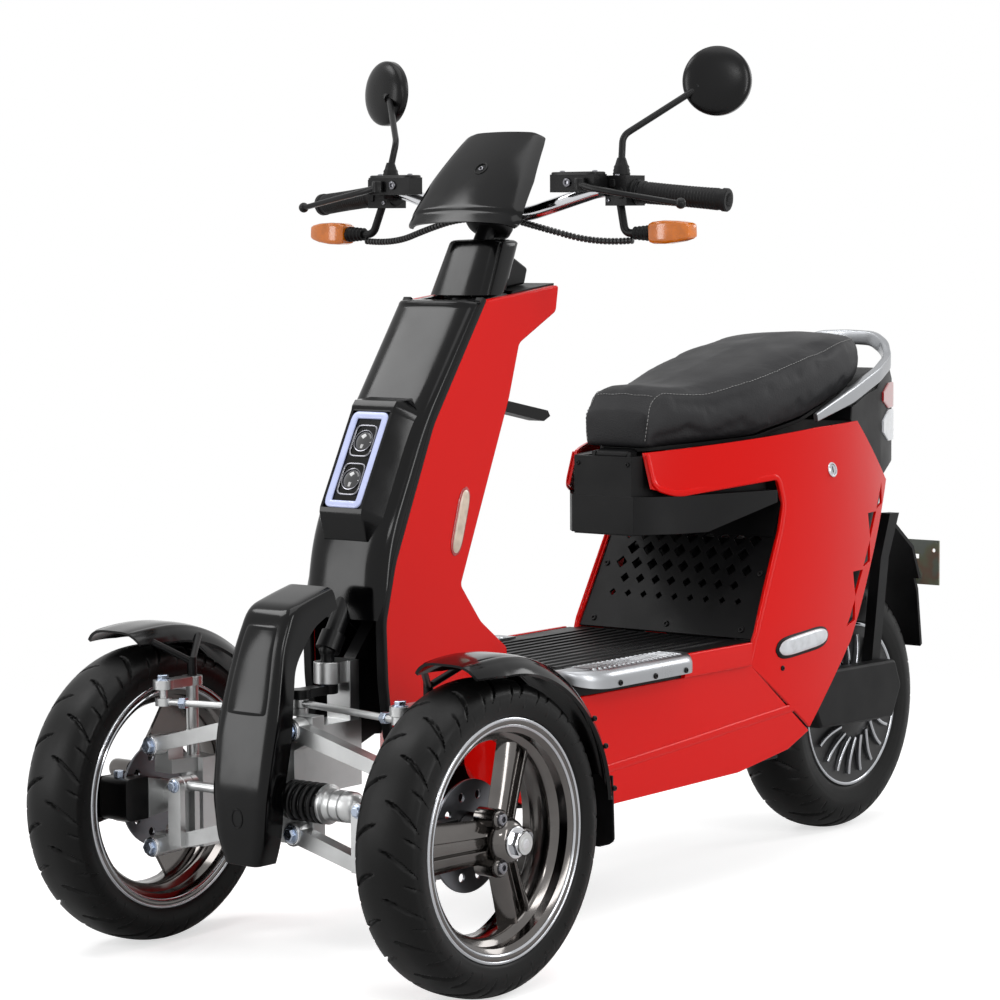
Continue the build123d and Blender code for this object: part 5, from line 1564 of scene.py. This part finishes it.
@dataclass
class Suspension:
    """Linkage fittings: coil, damper body, pivot bolts and nuts."""

    damper: tuple[float, float, float] = (FRONT_X + 73.0, 0.0, 252.0)
    coil_r: float = 24.0
    wire_r: float = 4.5

    def coil(self) -> Surface:
        """Round wire on a helix whose ends close up, as ground spring ends do."""
        k = np.linspace(0, 1, 240)
        turn = 2 * np.pi * 5 * k
        y = 39.4 + 54.6 * np.clip((k - 0.08) / 0.84, 0, 1)
        path = self.damper + np.stack([self.coil_r * np.cos(turn), y, self.coil_r * np.sin(turn)], -1)
        return carried(path, rod(self.wire_r, 14), up=LEFT)

    def damper_body(self) -> Surface:
        """Damper turned in one piece: spring seats, ringed body and both eyes' necks."""
        profile = [(-160, 7), (-40, 7), (30.4, 7), (30.6, 26), (34.2, 27), (34.4, 8), (99, 8), (99.4, 27),
                   (102, 28), (106, 28), (108, 23), (112, 22), (118, 22), (119, 20), (122, 20), (123, 22),
                   (134, 22), (135, 20), (138, 20), (139, 22), (150, 21.6), (156, 18), (160, 10)]
        eye = [(-9.5, 6.4), (-9.5, 11), (-8.5, 12), (8.5, 12), (9.5, 11), (9.5, 6.4)]
        eyes = [turned(eye, self.damper + hand * 172 * LEFT, AHEAD, 36, ring=True) for hand in (1, -1)]
        return joined([turned(profile, self.damper, LEFT, 56), *eyes])

    def build(self) -> None:
        """Make the spring and damper, then set bolts and nuts on the pivots."""
        add_piece("front_coil_wire", self.coil(), POWDER_COAT, "front_coil", True, 60)
        add_piece("front_damper_body", self.damper_body(), CAST_ALLOY, "front_damper", True, 36)
        pivots = FRONT + [(84.4, y, z) for y, z in ((45, 350), (45, 205), (226, 304), (226, 157))]
        nuts = joined(hex_bolt(place + AHEAD, AHEAD, 19, 9) for place in pivots)
        ring = [(-1, 14.6), (1.6, 14.2), (2.2, 13.2), (2.0, 11), (0.4, 10.6)]
        rings = joined(turned(ring, place, AHEAD, 40) for place in pivots)
        add_piece("arm_pivot_nuts", nuts.pair(), ZINC_BLUE, "leaning_arms", bevel=0.5)
        add_piece("arm_pivot_rings", rings.pair(), CHROME, "leaning_arms", sharp=40)
        ears = hex_bolt(FRONT + (93, 172, 252), AHEAD, 15, 7)
        add_piece("damper_eye_bolts", ears.pair(), ZINC_BLUE, "leaning_arms", bevel=0.5)
        for (side, hand), z in zip(SIDES, (377.5, 365.5)):
            nut = hex_bolt(FRONT + (60, hand * 222, 397), UP, 17, 8)
            add_piece(f"{side}_track_nut", nut, ZINC_BLUE, f"{side}_knuckle", bevel=0.5)
            lock = turned([(0, 8.6), (10, 8.6), (11, 7.4)], FRONT + (52, hand * 184, z), (0.21, hand, 0), 6)
            add_piece(f"{side}_rod_locknut", lock, ZINC_BLUE, f"{side}_tie_rod", bevel=0.5)
            bolts = [hex_bolt(FRONT + (70, hand * 316, high), hand * LEFT, 13, 6) for high in (208, 236)]
            bolts.append(turned([(0, 8), (9, 8), (10, 7)], FRONT + (84, hand * 290, 252), UP, 6))
            add_piece(f"{side}_caliper_bolts", joined(bolts), ZINC_BLUE, f"{side}_caliper", bevel=0.5)
        collar = hex_bolt(FRONT + (-45, 0, 398.6), -UP, 16, 6)
        add_piece("pitman_nut", collar, ZINC_BLUE, "pitman_crank", bevel=0.5)
        swing = hex_bolt(REAR + (0, 101, 218), LEFT, 26, 11) + hex_bolt(REAR + (350, 104, 240), LEFT, 20, 9)
        add_piece("swingarm_nuts", swing.pair(), ZINC_BLUE, "swingarm", bevel=0.6)


@dataclass
class Studio:
    """Camera at the photograph's view, pale floor and soft light.

    Each light is: name, place, target, width, height and power in watts.
    """

    eye: tuple[float, float, float] = (4.126, 3.038, 1.04)
    yaw: float = 38.1
    pitch: float = 4.73
    roll: float = -0.31
    lens: float = 117.6
    floor_reach: float = 9000.0
    lights: tuple[tuple[str, tuple, tuple, float, float, float], ...] = (
        ("overhead", (0.3, 0.4, 3.4), (0.0, 0.0, 0.5), 2.6, 2.6, 40.0),
        ("left_strip", (0.6, 3.2, 1.5), (0.0, 0.2, 0.7), 0.5, 2.2, 34.0),
        ("front_strip", (3.2, -2.0, 1.3), (0.5, 0.0, 0.6), 0.9, 1.8, 28.0),
        ("near_strip", (3.0, 2.6, 2.4), (0.3, 0.2, 0.7), 1.2, 0.4, 18.0),
        ("far_top", (1.4, -1.9, 3.0), (0.35, 0.0, 0.9), 1.1, 0.9, 20.0),
        ("rear_rim", (-3.2, 1.8, 2.2), (-0.4, 0.0, 0.7), 1.2, 1.2, 24.0))

    def camera(self) -> None:
        """Place the camera on the solved view: it looks back and to the right, slightly down."""
        yaw, pitch, roll = (math.radians(a) for a in (self.yaw, self.pitch, self.roll))
        look = Vector((-math.cos(yaw) * math.cos(pitch), -math.sin(yaw) * math.cos(pitch), -math.sin(pitch)))
        right = look.cross(Vector((0, 0, 1))).normalized()
        up = right.cross(look)
        across = right * math.cos(roll) + up * math.sin(roll)
        above = up * math.cos(roll) - right * math.sin(roll)
        data = bpy.data.cameras.new("camera")
        data.lens, data.sensor_width = self.lens, 36.0
        camera = bpy.data.objects.new("camera", data)
        camera.matrix_world = Matrix((across, above, -look)).transposed().to_4x4()
        camera.location = self.eye
        bpy.context.scene.collection.objects.link(camera)
        bpy.context.scene.camera = camera

    def light(self) -> None:
        """Soft boxes over and beside the scooter, and an even pale surround that shows as white."""
        bpy.context.scene.view_settings.view_transform = "Standard"
        for name, place, target, wide, tall, power in self.lights:
            data = bpy.data.lights.new(name, "AREA")
            data.shape, data.energy, data.size, data.size_y = "RECTANGLE", power, wide, tall
            lamp = bpy.data.objects.new(name, data)
            lamp.location = place
            lamp.rotation_euler = (Vector(target) - Vector(place)).to_track_quat("-Z", "Y").to_euler()
            bpy.context.scene.collection.objects.link(lamp)
        world = bpy.data.worlds.new("studio")
        bpy.context.scene.world = world
        tree = emptied(world)
        ray = add_node(tree, "ShaderNodeLightPath").outputs
        direct = add_node(tree, "ShaderNodeMath", {0: ray["Is Camera Ray"], 1: ray["Is Transmission Ray"]},
                          operation="MAXIMUM")
        seen = add_node(tree, "ShaderNodeMath", {0: direct.outputs[0], 1: ray["Is Glossy Ray"]},
                        operation="MAXIMUM")
        dim, white = (add_node(tree, "ShaderNodeBackground", {"Color": (1, 1, 1, 1), "Strength": strength})
                      for strength in (0.3, 1.0))
        mix = add_node(tree, "ShaderNodeMixShader", {0: seen.outputs[0], 1: dim.outputs[0],
                                                     2: white.outputs[0]})
        add_node(tree, "ShaderNodeOutputWorld", {"Surface": mix.outputs[0]})

    def floor(self) -> None:
        """A pale floor that keeps the scooter's shadow and fades into the surround."""
        ends = np.array((-self.floor_reach, self.floor_reach))
        ground = grid(np.stack(np.broadcast_arrays(ends[:, None], ends, -0.5), -1))
        mesh = bpy.data.meshes.new("studio_floor")
        mesh.from_pydata((ground.verts * MM).tolist(), [], ground.faces)
        plane = bpy.data.objects.new("studio_floor", mesh)
        bpy.context.scene.collection.objects.link(plane)
        material = bpy.data.materials.new("studio_floor_paper")
        tree = emptied(material)
        ray = add_node(tree, "ShaderNodeLightPath")
        matte = add_node(tree, "ShaderNodeBsdfDiffuse", {"Color": (0.86, 0.86, 0.86, 1)})
        lift = add_node(tree, "ShaderNodeEmission", {"Color": (1, 1, 1, 1), "Strength": 0.62})
        both = add_node(tree, "ShaderNodeAddShader", {0: matte.outputs[0], 1: lift.outputs[0]})
        paper = add_node(tree, "ShaderNodeMixShader", {0: ray.outputs["Is Camera Ray"], 1: matte.outputs[0],
                                                       2: both.outputs[0]})
        place = add_node(tree, "ShaderNodeTexCoord").outputs["Object"]
        far = add_node(tree, "ShaderNodeVectorMath", {0: place}, operation="LENGTH")
        fade = add_node(tree, "ShaderNodeMapRange", {"Value": far.outputs["Value"], "From Min": 1.1,
                                                     "From Max": 2.6})
        clear = add_node(tree, "ShaderNodeBsdfTransparent")
        mix = add_node(tree, "ShaderNodeMixShader", {0: fade.outputs["Result"], 1: paper.outputs[0],
                                                     2: clear.outputs[0]})
        add_node(tree, "ShaderNodeOutputMaterial", {"Surface": mix.outputs[0]})
        mesh.materials.append(material)

    def build(self) -> None:
        """Set up the whole studio."""
        self.camera()
        self.light()
        self.floor()


@dataclass
class Castings:
    """Every CAD node that no other class has replaced, with its edges rounded."""

    bevel: float = 1.2
    fine: dict[str, float] = field(default_factory=lambda: {"underseat_grille": 0.6})

    def build(self) -> None:
        """Copy, round and finish the nodes that are still shown."""
        slots = {row["node"]: row["material_slot"] for row in frame["record"]["subparts"]}
        for node, cad in frame["nodes"].items():
            if not cad.hide_render:
                rounded_copy(node, SLOT_FINISH[slots[node]], self.fine.get(node, self.bevel))


def main() -> None:
    """Build the studio and the sub-assemblies in order."""
    logging.basicConfig(level=logging.INFO, format="%(name)s: %(message)s")
    front = dict(flange_r=167.4, seat_half=41.6, half_w=52.5, lugs=21)
    for assembly in (
            Studio(),
            Tyre("left_front_tyre", (FRONT_X, WHEEL_Y, AXLE_Z), **front),
            Tyre("right_front_tyre", (FRONT_X, -WHEEL_Y, AXLE_Z), **front),
            Tyre("rear_tyre", (REAR_X, 0.0, AXLE_Z), flange_r=141.0, seat_half=45.6, half_w=58.0, lugs=20),
            *(FrontWheel(*side) for side in SIDES), HubMotor(), *(Fender(*side) for side in SIDES),
            NoseCover(), ColumnCover(), DashCowl(), Controls(), Seat(), Footwell(), RearBody(),
            Suspension(), Castings()):
        assembly.build()


if __name__ == "__main__":
    main()
